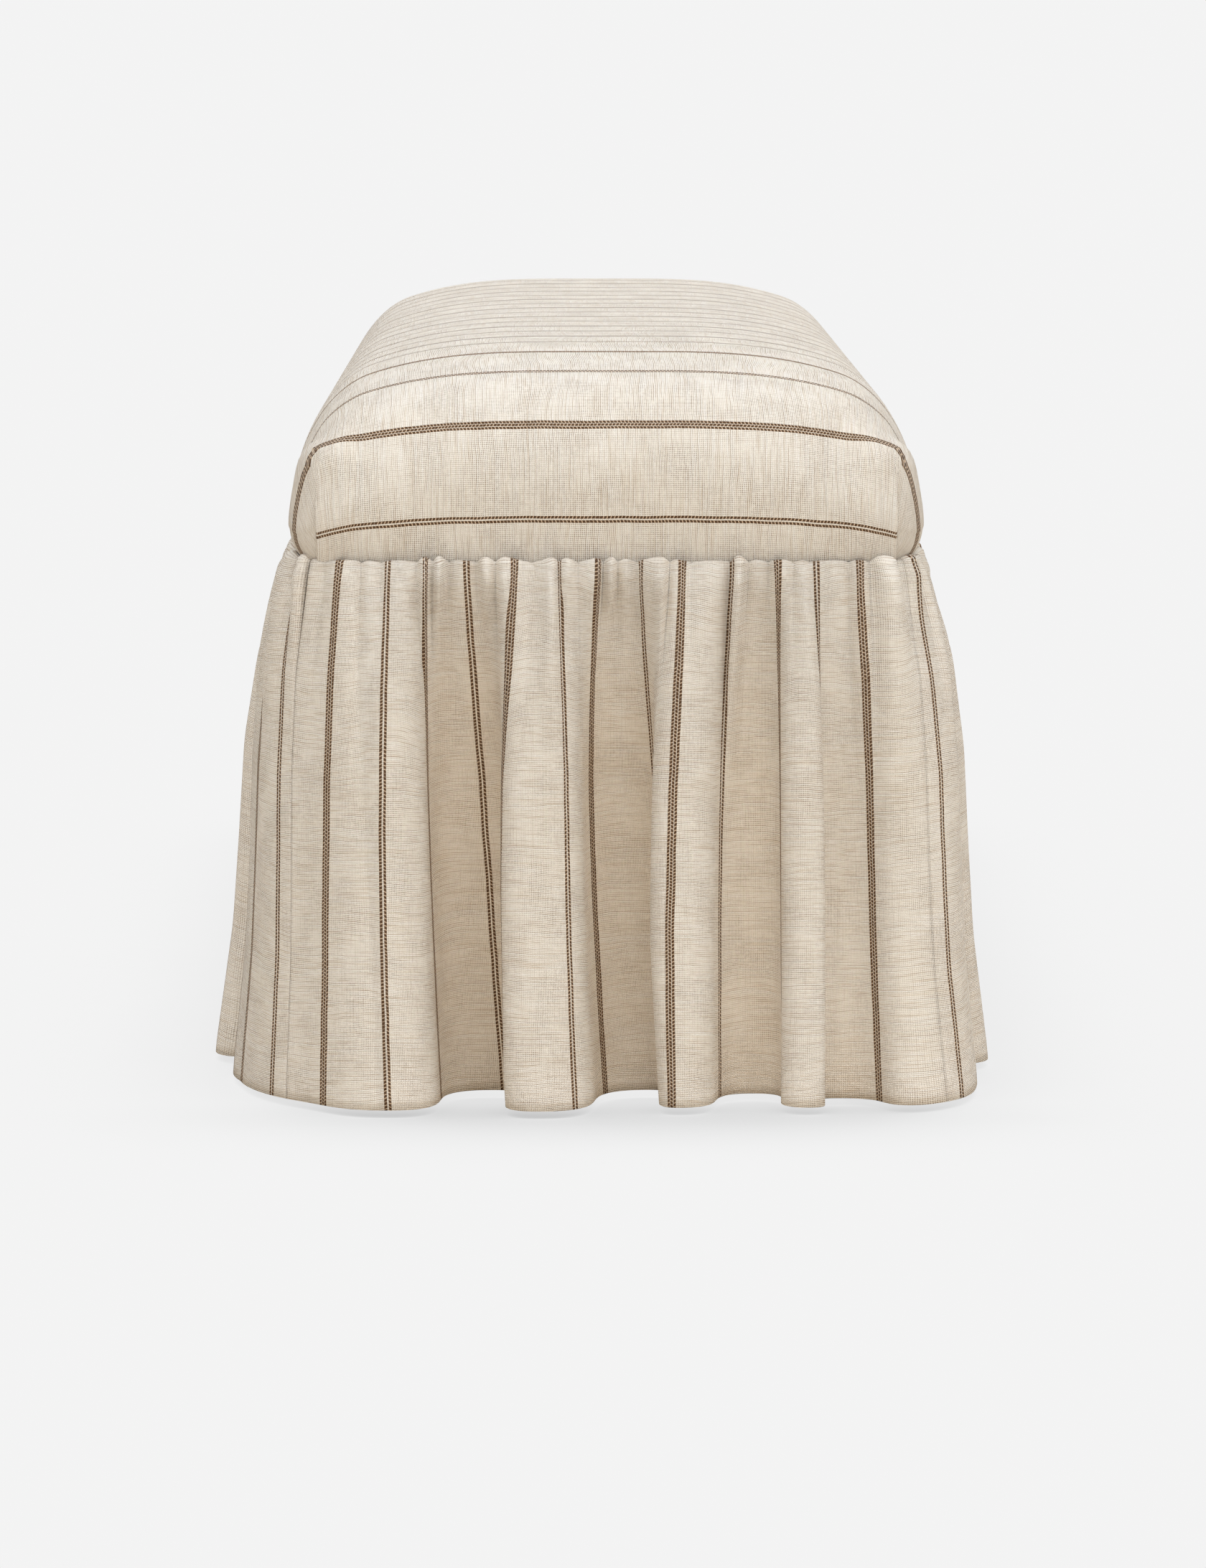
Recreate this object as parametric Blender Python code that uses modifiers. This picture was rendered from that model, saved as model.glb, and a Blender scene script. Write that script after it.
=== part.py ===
"""Skirted dining bench.

A hardwood frame on four legs carries interlaced webbing, a foam seat, a batting wrap and a striped
cloth cover.
A gathered skirt in four panels hangs from bands round the frame to just above the floor.
Metres, +Z up. The origin is on the floor below the middle of the seat, and +Y runs along the bench.
The front end is the one at -Y.
"""

import math
import random

import bmesh
import bpy
from mathutils import Matrix, Vector

# Seat, measured over its cover; its depth is from the top of the crown down to the skirt's seam
SEAT_HEIGHT = 0.478
SEAT_WIDTH = 0.405
SEAT_LENGTH = 1.270
SEAT_EDGE_RADIUS = 0.050
SEAT_CORNER_POWER = 3.0
CROWN_ACROSS = 0.039
CROWN_ACROSS_REACH = 0.185
CROWN_ALONG = 0.032
CROWN_ALONG_REACH = 0.236
CROWN_POWER = 3
SEAT_DEPTH = 0.130
SEAM_DRAW_IN = 0.008
COVER_TUCK = 0.020
COVER_THICKNESS = 0.0016
BATTING_THICKNESS = 0.008

# Skirt: its folds are crests and valleys by turns, each with its place at the gathers and at the hem, and
# its distance out from the seam at the hem. The front places are shares of half the seam, from its middle.
SKIRT_THICKNESS = 0.0016
HEM_HEIGHT = 0.005
FRONT_FOLDS = (
    (-0.715, -0.710, 0.052),
    (-0.491, -0.391, -0.030),
    (-0.221, -0.237, 0.056),
    (0.057, 0.154, -0.028),
    (0.272, 0.242, 0.044),
    (0.481, 0.478, -0.005),
    (0.630, 0.679, 0.044),
    (0.740, 0.771, 0.012),
    (0.985, 1.000, 0.054),
)
# Folds of a side: two measured on from the corner before it, the last one back from the corner after it, and
# between them half folds of uneven widths; then how far out the skirt hangs at the corner itself
CORNER_FOLDS = ((0.024, 0.038, 0.047), (0.0645, 0.085, -0.012))
LAST_FOLD = (0.077, 0.080, 0.050)
SIDE_HALF_FOLDS = 25
SIDE_CREST_OUT = (0.060, 0.071)
SIDE_VALLEY_OUT = (-0.034, -0.016)
SIDE_FOLD_JITTER = 0.24
FOLD_DRIFT = 0.005
FOLD_SEED = 11
CORNER_OUT = 0.036
GATHER_CORNER_RADIUS = 0.034
HEM_CORNER_RADIUS = 0.050
# Levels of the skirt: share of the drop, and how far crests and valleys have grown there
SKIRT_LEVELS = ((0.0, 0.08, 0.0), (0.17, 0.47, 0.0), (0.42, 0.68, 0.97), (1.0, 1.0, 1.0))
END_STEPS_PER_FOLD = 6
SIDE_STEPS_PER_FOLD = 4
STEEPEST_FOLD = 1.9
FOLD_SAMPLES = 16
FOLD_TRIES = 24
BAND_HEIGHT = 0.018
BAND_THICKNESS = 0.0015

# Hardwood frame
FRAME_DROP = 0.026
LEG_SIZE = 0.044
LEG_FOOT_SIZE = 0.032
LEG_ROUND_SPARE = 0.003
LEG_SETBACK = 0.001
RAIL_HEIGHT = 0.088
RAIL_THICKNESS = 0.022
TENON_LENGTH = 0.020
TENON_HEIGHT = 0.055
TENON_THICKNESS = 0.010
CROSS_RAIL_SPACING = 0.420
CROSS_RAIL_HEIGHT = 0.050
CROSS_RAIL_THICKNESS = 0.022
CROSS_RAIL_DROP = 0.025
CROSS_RAIL_HOUSING = 0.007
BLOCK_HEIGHT = 0.050
BLOCK_THICKNESS = 0.024
BLOCK_DROP = 0.016

# Corner bolts, washers, nuts and glides
BOLT_DIAMETER = 0.008
BOLT_IN_LEG = 0.020
BOLT_PAST_NUT = 0.004
WASHER_DIAMETER = 0.020
WASHER_THICKNESS = 0.0016
NUT_ACROSS_FLATS = 0.013
NUT_HEIGHT = 0.0065
NUT_SIDES = 6
GLIDE_DIAMETER = 0.022
GLIDE_HEIGHT = 0.005
GLIDE_EDGE = 0.0015
NAIL_DIAMETER = 0.003
NAIL_LENGTH = 0.016

# Webbing and the cloths inside
WEB_WIDTH = 0.050
WEB_THICKNESS = 0.0015
CROSS_WEB_PITCH = 0.130
LONG_WEB_COUNT = 3
LONG_WEB_PITCH = 0.100
WEB_END_MARGIN = 0.004
WEB_BEND_MARGIN = 0.005
DECK_THICKNESS = 0.001
DECK_MARGIN = 0.002
DUST_COVER_THICKNESS = 0.001
DUST_COVER_MARGIN = 0.003

# Clearances
GAP = 0.0003
JOINT_CLEARANCE = 0.0004
CUT_OVERRUN = 0.005
MERGE_DISTANCE = 0.00003

# Segments of round shapes, the angles up to which edges are shaded smooth, the grid lines of the seat's
# edge and crown, and its wall's rows as shares of the height and of the draw-in
EDGE_ANGLES = (0, 25, 48, 70, 90)
CROWN_SHARES = (0.35, 0.75)
WALL_ROWS = ((0.5, 0.25), (1.0, 1.0))
ROUND_SMOOTH_ANGLE = 40
FOLD_SMOOTH_ANGLE = 60
BOLT_SIDES = 16
WASHER_SIDES = 24
GLIDE_STEPS = 24
LEG_ROUND_STEPS = 3
LEG_ROUND_PROFILE = 0.5

# Places that follow from the sizes above
SEAM_HEIGHT = SEAT_HEIGHT - SEAT_DEPTH
SEAM_HALF_X = SEAT_WIDTH / 2 - SEAM_DRAW_IN
SEAM_HALF_Y = SEAT_LENGTH / 2 - SEAM_DRAW_IN
COVER_INSIDE = COVER_THICKNESS + GAP
BATTING_INSIDE = COVER_INSIDE + BATTING_THICKNESS + GAP
FRAME_X = SEAM_HALF_X - BATTING_INSIDE
FRAME_Y = SEAM_HALF_Y - BATTING_INSIDE
RAIL_TOP = SEAT_HEIGHT - CROWN_ACROSS - CROWN_ALONG - FRAME_DROP
DECK_BOTTOM = RAIL_TOP + 2 * WEB_THICKNESS + 3 * GAP
FOAM_BOTTOM = DECK_BOTTOM + DECK_THICKNESS + GAP
RAIL_BOTTOM = RAIL_TOP - RAIL_HEIGHT
RAIL_INSIDE_X = FRAME_X - RAIL_THICKNESS
RAIL_INSIDE_Y = FRAME_Y - RAIL_THICKNESS
LEG_X = FRAME_X - LEG_SETBACK
LEG_Y = FRAME_Y - LEG_SETBACK
LEG_INSIDE_X = LEG_X - LEG_SIZE
LEG_INSIDE_Y = LEG_Y - LEG_SIZE
PANEL_GAP = SKIRT_THICKNESS + 2 * GAP
CORNER_CUT = SEAT_EDGE_RADIUS * (1 - 0.5 ** (1 / SEAT_CORNER_POWER)) * math.sqrt(2)
FRAME_CORNER_CUT = max(CORNER_CUT - (math.sqrt(2) - 1) * (SEAM_DRAW_IN + BATTING_INSIDE), 0.0)
LEG_ROUND = FRAME_CORNER_CUT / (math.sqrt(2) - 1) + LEG_ROUND_SPARE
DECK_INSET = FRAME_CORNER_CUT / math.sqrt(2) + DECK_MARGIN
BLOCK_Z = RAIL_TOP - BLOCK_DROP - BLOCK_HEIGHT / 2
BLOCK_REACH = BLOCK_THICKNESS * math.sqrt(2) + RAIL_INSIDE_X - LEG_INSIDE_X

CORNERS = {
    "front_left": (-1, -1),
    "front_right": (1, -1),
    "back_left": (-1, 1),
    "back_right": (1, 1),
}


def new_collection(name):
    collection = bpy.data.collections.new(name)
    bpy.context.scene.collection.children.link(collection)
    return collection


def clear_scene():
    for item in list(bpy.data.objects):
        bpy.data.objects.remove(item, do_unlink=True)


clear_scene()
BENCH = new_collection("dining_bench")
CUTTERS = new_collection("cutters")


def finish(name, colour, roughness, metallic=0.0):
    material = bpy.data.materials.new(name)
    material.use_nodes = True
    shader = material.node_tree.nodes["Principled BSDF"]
    shader.inputs["Base Color"].default_value = (*colour, 1.0)
    shader.inputs["Roughness"].default_value = roughness
    shader.inputs["Metallic"].default_value = metallic
    return material


STRIPED_CLOTH = finish("striped_cloth", (0.76, 0.69, 0.58), 0.9)
HARDWOOD = finish("hardwood", (0.55, 0.38, 0.22), 0.55)
ZINC_STEEL = finish("zinc_steel", (0.62, 0.62, 0.60), 0.35, 1.0)
GLIDE_NYLON = finish("glide_nylon", (0.82, 0.80, 0.74), 0.45)
JUTE_WEB = finish("jute_web", (0.50, 0.38, 0.24), 0.9)
DECK_HESSIAN = finish("deck_hessian", (0.45, 0.34, 0.21), 0.95)
SEAT_FOAM = finish("seat_foam", (0.85, 0.80, 0.62), 0.9)
WHITE_BATTING = finish("white_batting", (0.88, 0.88, 0.86), 0.95)
TACK_TAPE = finish("tack_tape", (0.70, 0.62, 0.48), 0.9)
DUST_CLOTH = finish("dust_cloth", (0.05, 0.05, 0.05), 0.9)


def add_mesh(name, bm, material):
    """Put a bmesh in the bench's collection as an object of that name."""
    bmesh.ops.recalc_face_normals(bm, faces=bm.faces)
    mesh = bpy.data.meshes.new(name)
    bm.to_mesh(mesh)
    bm.free()
    mesh.materials.append(material)
    part = bpy.data.objects.new(name, mesh)
    BENCH.objects.link(part)
    return part


def make_cutter(part):
    """Turn an object into a hidden tool for booleans."""
    BENCH.objects.unlink(part)
    CUTTERS.objects.link(part)
    part.hide_render = True
    part.display_type = "WIRE"
    return part


def boolean(part, tool, operation):
    modifier = part.modifiers.new(f"{operation.lower()} {tool.name}", "BOOLEAN")
    modifier.operation = operation
    modifier.object = tool
    modifier.solver = "EXACT"


def solidify(part, thickness, offset):
    modifier = part.modifiers.new("thickness", "SOLIDIFY")
    modifier.thickness = thickness
    modifier.offset = offset


def smooth_round(part, angle=ROUND_SMOOTH_ANGLE):
    part.data.shade_smooth()
    part.data.set_sharp_from_angle(angle=math.radians(angle))


def add_box(name, first, second, material):
    """A box between two opposite corners, placed by its centre."""
    size = [abs(a - b) for a, b in zip(first, second)]
    bm = bmesh.new()
    bmesh.ops.create_cube(bm, size=1.0)
    bmesh.ops.scale(bm, vec=size, verts=bm.verts)
    part = add_mesh(name, bm, material)
    part.location = (Vector(first) + Vector(second)) / 2
    return part


def add_rod(name, diameter, length, sides, material):
    """A round or many-sided rod along its own Z, centred on its origin."""
    bm = bmesh.new()
    bmesh.ops.create_cone(
        bm,
        cap_ends=True,
        segments=sides,
        radius1=diameter / 2,
        radius2=diameter / 2,
        depth=length,
    )
    part = add_mesh(name, bm, material)
    smooth_round(part)
    return part


def add_outline(name, points, thickness, material):
    """A flat outline with a thickness, turned from a filled curve into a mesh."""
    curve = bpy.data.curves.new(name, "CURVE")
    curve.dimensions = "2D"
    curve.fill_mode = "BOTH"
    curve.extrude = thickness / 2
    spline = curve.splines.new("POLY")
    spline.points.add(len(points) - 1)
    for point, place in zip(spline.points, points):
        point.co = (place[0], place[1], 0.0, 1.0)
    spline.use_cyclic_u = True
    drawn = bpy.data.objects.new(name, curve)
    BENCH.objects.link(drawn)
    depsgraph = bpy.context.evaluated_depsgraph_get()
    filled = bpy.data.meshes.new_from_object(drawn.evaluated_get(depsgraph))
    bm = bmesh.new()
    bm.from_mesh(filled)
    bmesh.ops.remove_doubles(bm, verts=bm.verts, dist=MERGE_DISTANCE)
    bpy.data.objects.remove(drawn, do_unlink=True)
    bpy.data.meshes.remove(filled)
    return add_mesh(name, bm, material)


def add_sheet(name, columns, rows, place, thickness, material):
    """A thin sheet of columns by rows of faces; place(column, row) gives each point."""
    bm = bmesh.new()
    bmesh.ops.create_grid(bm, x_segments=columns, y_segments=rows, size=1.0)
    for vert in bm.verts:
        column = round((vert.co.x + 1) / 2 * columns)
        row = round((vert.co.y + 1) / 2 * rows)
        vert.co = place(column, row)
    part = add_mesh(name, bm, material)
    solidify(part, thickness, 0.0)
    return part


def mix(first, second, share):
    return first + (second - first) * share


def grown(first, second, clearance):
    """The two corners of a box, each moved out by a clearance."""
    low = [min(a, b) - clearance for a, b in zip(first, second)]
    high = [max(a, b) + clearance for a, b in zip(first, second)]
    return low, high


def side_tenon(sx, sy):
    """Corners of the tenon at one end of a side rail, from inside the rail to its tip in the leg."""
    middle = FRAME_X - RAIL_THICKNESS / 2
    height = RAIL_TOP - RAIL_HEIGHT / 2
    first = (
        sx * (middle - TENON_THICKNESS / 2),
        sy * (LEG_INSIDE_Y - CUT_OVERRUN),
        height - TENON_HEIGHT / 2,
    )
    second = (
        sx * (middle + TENON_THICKNESS / 2),
        sy * (LEG_INSIDE_Y + TENON_LENGTH),
        height + TENON_HEIGHT / 2,
    )
    return first, second


def end_tenon(sx, sy):
    """Corners of the tenon at one end of an end rail, from inside the rail to its tip in the leg."""
    middle = FRAME_Y - RAIL_THICKNESS / 2
    height = RAIL_TOP - RAIL_HEIGHT / 2
    first = (
        sx * (LEG_INSIDE_X - CUT_OVERRUN),
        sy * (middle - TENON_THICKNESS / 2),
        height - TENON_HEIGHT / 2,
    )
    second = (
        sx * (LEG_INSIDE_X + TENON_LENGTH),
        sy * (middle + TENON_THICKNESS / 2),
        height + TENON_HEIGHT / 2,
    )
    return first, second


def foot_centre(sx, sy):
    inset = LEG_FOOT_SIZE / 2
    return Vector((sx * (LEG_X - inset), sy * (LEG_Y - inset), 0.0))


def bolt_place(sx, sy, distance):
    """A point on a corner bolt's axis, that far inside the bench from the leg's inner edge, and its turn."""
    inward = Vector((-sx, -sy, 0.0)).normalized()
    edge = Vector((sx * LEG_INSIDE_X, sy * LEG_INSIDE_Y, BLOCK_Z))
    turn = inward.to_track_quat("Z", "Y").to_matrix().to_4x4()
    return Matrix.Translation(edge + inward * distance) @ turn


def is_outer_corner(vert):
    """Whether a leg's vertex lies on the bench frame's outer corner."""
    return abs(vert.co.x) > LEG_X - GAP and abs(vert.co.y) > LEG_Y - GAP


def add_leg(corner, sx, sy):
    """A square post, round on its outer edge, whose two inner faces taper below the rails to the foot."""
    bm = bmesh.new()
    bmesh.ops.create_cube(bm, size=1.0)
    bmesh.ops.scale(bm, vec=(LEG_SIZE, LEG_SIZE, RAIL_HEIGHT), verts=bm.verts)
    bmesh.ops.translate(
        bm,
        vec=(
            sx * (LEG_X - LEG_SIZE / 2),
            sy * (LEG_Y - LEG_SIZE / 2),
            RAIL_TOP - RAIL_HEIGHT / 2,
        ),
        verts=bm.verts,
    )
    bottom = [min(bm.faces, key=lambda face: face.calc_center_median().z)]
    lower = bmesh.ops.extrude_face_region(bm, geom=bottom)
    bmesh.ops.delete(bm, geom=bottom, context="FACES_ONLY")
    for vert in lower["geom"]:
        if not isinstance(vert, bmesh.types.BMVert):
            continue
        vert.co.z = GLIDE_HEIGHT + GAP
        if abs(vert.co.x) < LEG_X - LEG_SIZE / 2:
            vert.co.x = sx * (LEG_X - LEG_FOOT_SIZE)
        if abs(vert.co.y) < LEG_Y - LEG_SIZE / 2:
            vert.co.y = sy * (LEG_Y - LEG_FOOT_SIZE)
    outer = [edge for edge in bm.edges if all(is_outer_corner(vert) for vert in edge.verts)]
    bmesh.ops.bevel(
        bm,
        geom=outer,
        offset=LEG_ROUND,
        segments=LEG_ROUND_STEPS,
        profile=LEG_ROUND_PROFILE,
        affect="EDGES",
    )
    leg = add_mesh(f"leg_{corner}", bm, HARDWOOD)
    for label, tenon in (("side", side_tenon(sx, sy)), ("end", end_tenon(sx, sy))):
        mortise = add_box(f"{label}_mortise_{corner}", *grown(*tenon, JOINT_CLEARANCE), HARDWOOD)
        boolean(leg, make_cutter(mortise), "DIFFERENCE")
    hole = add_rod(
        f"bolt_hole_{corner}",
        BOLT_DIAMETER + 2 * JOINT_CLEARANCE,
        2 * (BOLT_IN_LEG + JOINT_CLEARANCE),
        BOLT_SIDES,
        HARDWOOD,
    )
    hole.matrix_world = bolt_place(sx, sy, 0.0)
    boolean(leg, make_cutter(hole), "DIFFERENCE")
    nail_hole = add_rod(
        f"nail_hole_{corner}",
        NAIL_DIAMETER + 2 * JOINT_CLEARANCE,
        2 * (NAIL_LENGTH + JOINT_CLEARANCE),
        BOLT_SIDES,
        HARDWOOD,
    )
    nail_hole.location = foot_centre(sx, sy) + Vector((0.0, 0.0, GLIDE_HEIGHT))
    boolean(leg, make_cutter(nail_hole), "DIFFERENCE")


def add_glide(corner, sx, sy):
    """A nail-on glide turned from one profile, from the nail's tip down to the floor."""
    radius = GLIDE_DIAMETER / 2
    nail = NAIL_DIAMETER / 2
    profile = (
        (0.0, GLIDE_HEIGHT + NAIL_LENGTH),
        (nail, GLIDE_HEIGHT + NAIL_LENGTH - nail),
        (nail, GLIDE_HEIGHT),
        (radius, GLIDE_HEIGHT),
        (radius, GLIDE_EDGE),
        (radius - GLIDE_EDGE, 0.0),
        (0.0, 0.0),
    )
    mesh = bpy.data.meshes.new(f"glide_{corner}")
    edges = [(index, index + 1) for index in range(len(profile) - 1)]
    mesh.from_pydata([(x, 0.0, z) for x, z in profile], edges, [])
    mesh.materials.append(GLIDE_NYLON)
    glide = bpy.data.objects.new(f"glide_{corner}", mesh)
    BENCH.objects.link(glide)
    glide.location = foot_centre(sx, sy)
    screw = glide.modifiers.new("turn", "SCREW")
    screw.steps = GLIDE_STEPS
    screw.render_steps = GLIDE_STEPS
    screw.use_merge_vertices = True
    screw.merge_threshold = MERGE_DISTANCE


def add_side_rail(side, sx):
    rail = add_box(
        f"side_rail_{side}",
        (sx * RAIL_INSIDE_X, -LEG_INSIDE_Y + GAP, RAIL_BOTTOM),
        (sx * FRAME_X, LEG_INSIDE_Y - GAP, RAIL_TOP),
        HARDWOOD,
    )
    for sy in (-1, 1):
        tenon = add_box(f"side_tenon_{side}_{sy}", *side_tenon(sx, sy), HARDWOOD)
        boolean(rail, make_cutter(tenon), "UNION")
        housing = add_box(
            f"housing_{side}_{sy}",
            *grown(*cross_rail_corners(sy), JOINT_CLEARANCE),
            HARDWOOD,
        )
        boolean(rail, make_cutter(housing), "DIFFERENCE")


def add_end_rail(end, sy):
    rail = add_box(
        f"end_rail_{end}",
        (-LEG_INSIDE_X + GAP, sy * RAIL_INSIDE_Y, RAIL_BOTTOM),
        (LEG_INSIDE_X - GAP, sy * FRAME_Y, RAIL_TOP),
        HARDWOOD,
    )
    for sx in (-1, 1):
        tenon = add_box(f"end_tenon_{end}_{sx}", *end_tenon(sx, sy), HARDWOOD)
        boolean(rail, make_cutter(tenon), "UNION")


def cross_rail_corners(sy):
    """Corners of a cross rail, whose ends sit in housings cut in the side rails."""
    reach = RAIL_INSIDE_X + CROSS_RAIL_HOUSING
    middle = sy * CROSS_RAIL_SPACING / 2
    top = RAIL_TOP - CROSS_RAIL_DROP
    first = (-reach, middle - CROSS_RAIL_THICKNESS / 2, top - CROSS_RAIL_HEIGHT)
    second = (reach, middle + CROSS_RAIL_THICKNESS / 2, top)
    return first, second


def add_corner_block(corner, sx, sy):
    """A block across the corner between two rails, notched round the leg and drilled for the bolt."""
    rail_x = RAIL_INSIDE_X - GAP
    rail_y = RAIL_INSIDE_Y - GAP
    leg_x = LEG_INSIDE_X - GAP
    leg_y = LEG_INSIDE_Y - GAP
    outline = (
        (sx * rail_x, sy * leg_y),
        (sx * leg_x, sy * leg_y),
        (sx * leg_x, sy * rail_y),
        (sx * (leg_x - BLOCK_REACH), sy * rail_y),
        (sx * rail_x, sy * (leg_y - BLOCK_REACH)),
    )
    block = add_outline(f"corner_block_{corner}", outline, BLOCK_HEIGHT, HARDWOOD)
    block.location.z = BLOCK_Z
    hole = add_rod(
        f"block_hole_{corner}",
        BOLT_DIAMETER + 2 * JOINT_CLEARANCE,
        2 * (BLOCK_THICKNESS + CUT_OVERRUN),
        BOLT_SIDES,
        HARDWOOD,
    )
    hole.matrix_world = bolt_place(sx, sy, 0.0)
    boolean(block, make_cutter(hole), "DIFFERENCE")


def add_ring(name, outside, sides, thickness, matrix):
    """A washer or nut: a flat piece with a hole for the bolt."""
    ring = add_rod(name, outside, thickness, sides, ZINC_STEEL)
    ring.matrix_world = matrix
    hole = add_rod(
        f"hole_{name}",
        BOLT_DIAMETER + 2 * JOINT_CLEARANCE,
        thickness + 2 * CUT_OVERRUN,
        BOLT_SIDES,
        ZINC_STEEL,
    )
    hole.matrix_world = matrix
    boolean(ring, make_cutter(hole), "DIFFERENCE")


def add_corner_bolt(corner, sx, sy):
    """The bolt from the leg through the block, with its washer and nut on the block's long face."""
    face = BLOCK_THICKNESS + GAP * math.sqrt(2)
    washer_start = face + GAP
    nut_start = washer_start + WASHER_THICKNESS + GAP
    tip = nut_start + NUT_HEIGHT + BOLT_PAST_NUT
    length = tip + BOLT_IN_LEG
    bolt = add_rod(f"corner_bolt_{corner}", BOLT_DIAMETER, length, BOLT_SIDES, ZINC_STEEL)
    bolt.matrix_world = bolt_place(sx, sy, tip - length / 2)
    add_ring(
        f"bolt_washer_{corner}",
        WASHER_DIAMETER,
        WASHER_SIDES,
        WASHER_THICKNESS,
        bolt_place(sx, sy, washer_start + WASHER_THICKNESS / 2),
    )
    add_ring(
        f"bolt_nut_{corner}",
        NUT_ACROSS_FLATS / math.cos(math.pi / NUT_SIDES),
        NUT_SIDES,
        NUT_HEIGHT,
        bolt_place(sx, sy, nut_start + NUT_HEIGHT / 2),
    )


def cross_web_places():
    """Middles of the cross webs along Y, evenly spaced between the end rails."""
    count = round(2 * RAIL_INSIDE_Y / CROSS_WEB_PITCH)
    pitch = 2 * RAIL_INSIDE_Y / count
    return [-RAIL_INSIDE_Y + (index + 0.5) * pitch for index in range(count)]


def add_cross_webs():
    reach = FRAME_X - WEB_END_MARGIN
    bottom = RAIL_TOP + GAP
    for index, middle in enumerate(cross_web_places()):
        add_box(
            f"cross_web_{index + 1:02d}",
            (-reach, middle - WEB_WIDTH / 2, bottom),
            (reach, middle + WEB_WIDTH / 2, bottom + WEB_THICKNESS),
            JUTE_WEB,
        )


def add_long_web(index):
    """A web along the bench that passes over and under the cross webs by turns."""
    level = RAIL_TOP + GAP + WEB_THICKNESS / 2
    step = WEB_THICKNESS + GAP
    flat = WEB_WIDTH / 2 + WEB_BEND_MARGIN
    end = FRAME_Y - WEB_END_MARGIN
    line = [(-end, level), (-RAIL_INSIDE_Y, level)]
    for crossing, middle in enumerate(cross_web_places()):
        side = 1 if (crossing + index) % 2 == 0 else -1
        line.append((middle - flat, level + side * step))
        line.append((middle + flat, level + side * step))
    line += [(RAIL_INSIDE_Y, level), (end, level)]
    middle_x = (index - (LONG_WEB_COUNT - 1) / 2) * LONG_WEB_PITCH

    def place(column, row):
        along, height = line[column]
        return Vector((middle_x + (row - 0.5) * WEB_WIDTH, along, height))

    add_sheet(f"long_web_{index + 1}", len(line) - 1, 1, place, WEB_THICKNESS, JUTE_WEB)


def add_deck_cloth():
    reach_x = FRAME_X - DECK_INSET
    reach_y = FRAME_Y - DECK_INSET
    add_box(
        "deck_cloth",
        (-reach_x, -reach_y, DECK_BOTTOM),
        (reach_x, reach_y, DECK_BOTTOM + DECK_THICKNESS),
        DECK_HESSIAN,
    )


def add_dust_cover():
    """The cloth under the rails, cut away round the four legs."""
    edge_x = FRAME_X - DUST_COVER_MARGIN
    edge_y = FRAME_Y - DUST_COVER_MARGIN
    notch_x = LEG_INSIDE_X - GAP
    notch_y = LEG_INSIDE_Y - GAP
    outline = []
    for sx, sy in ((1, 1), (-1, 1), (-1, -1), (1, -1)):
        notch = [(sx * edge_x, sy * notch_y), (sx * notch_x, sy * notch_y), (sx * notch_x, sy * edge_y)]
        outline += notch if sx == sy else notch[::-1]
    cover = add_outline("dust_cover", outline, DUST_COVER_THICKNESS, DUST_CLOTH)
    cover.location.z = RAIL_BOTTOM - GAP - DUST_COVER_THICKNESS / 2


def crown_lines(half, crown_reach):
    """Places of the seat's grid lines across one direction, closest together near the edges."""
    radius = SEAT_EDGE_RADIUS
    reach = min(crown_reach, half)
    from_edge = [radius * (1 - math.cos(math.radians(angle))) for angle in EDGE_ANGLES]
    from_edge += [mix(radius, reach, share) for share in CROWN_SHARES]
    low = [distance - half for distance in from_edge]
    return low + [-place for place in reversed(low)]


def corner_part(x, y):
    """How far a point lies in the edge strips along the sides and ends, from 0 inside to 1 at the edge."""
    across = max(abs(x) - SEAT_WIDTH / 2, -SEAT_EDGE_RADIUS) / SEAT_EDGE_RADIUS + 1
    along = max(abs(y) - SEAT_LENGTH / 2, -SEAT_EDGE_RADIUS) / SEAT_EDGE_RADIUS + 1
    return across, along


def corner_norm(across, along):
    power = SEAT_CORNER_POWER
    return (across ** power + along ** power) ** (1 / power)


def round_off(x, y):
    """Move a point of the square grid into the seat's outline, whose corners are round."""
    across, along = corner_part(x, y)
    if across == 0 or along == 0:
        return x, y
    shrink = 1 - max(across, along) / corner_norm(across, along)
    x -= math.copysign(across * shrink * SEAT_EDGE_RADIUS, x)
    y -= math.copysign(along * shrink * SEAT_EDGE_RADIUS, y)
    return x, y


def outline_normal(x, y):
    """Outward direction of the seat's outline at a point on it or just inside it."""
    across, along = corner_part(x, y)
    power = SEAT_CORNER_POWER - 1
    return Vector((math.copysign(across ** power, x), math.copysign(along ** power, y), 0.0)).normalized()


def seat_top(x, y):
    """Height of the seat's crowned top, which falls away to every edge and rolls over it."""
    from_side = SEAT_WIDTH / 2 - abs(x)
    from_end = SEAT_LENGTH / 2 - abs(y)
    height = SEAT_HEIGHT
    height -= CROWN_ACROSS * max(1 - from_side / CROWN_ACROSS_REACH, 0.0) ** CROWN_POWER
    height -= CROWN_ALONG * max(1 - from_end / CROWN_ALONG_REACH, 0.0) ** CROWN_POWER
    over = min(corner_norm(*corner_part(x, y)), 1.0)
    return height - SEAT_EDGE_RADIUS * (1 - math.sqrt(1 - over ** 2))


def extrude_rim(bm):
    """Draw a new row of faces from an open surface's edge, and give that row's vertices."""
    rim = [edge for edge in bm.edges if edge.is_boundary]
    drawn = bmesh.ops.extrude_edge_only(bm, edges=rim)
    return [item for item in drawn["geom"] if isinstance(item, bmesh.types.BMVert)]


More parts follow.
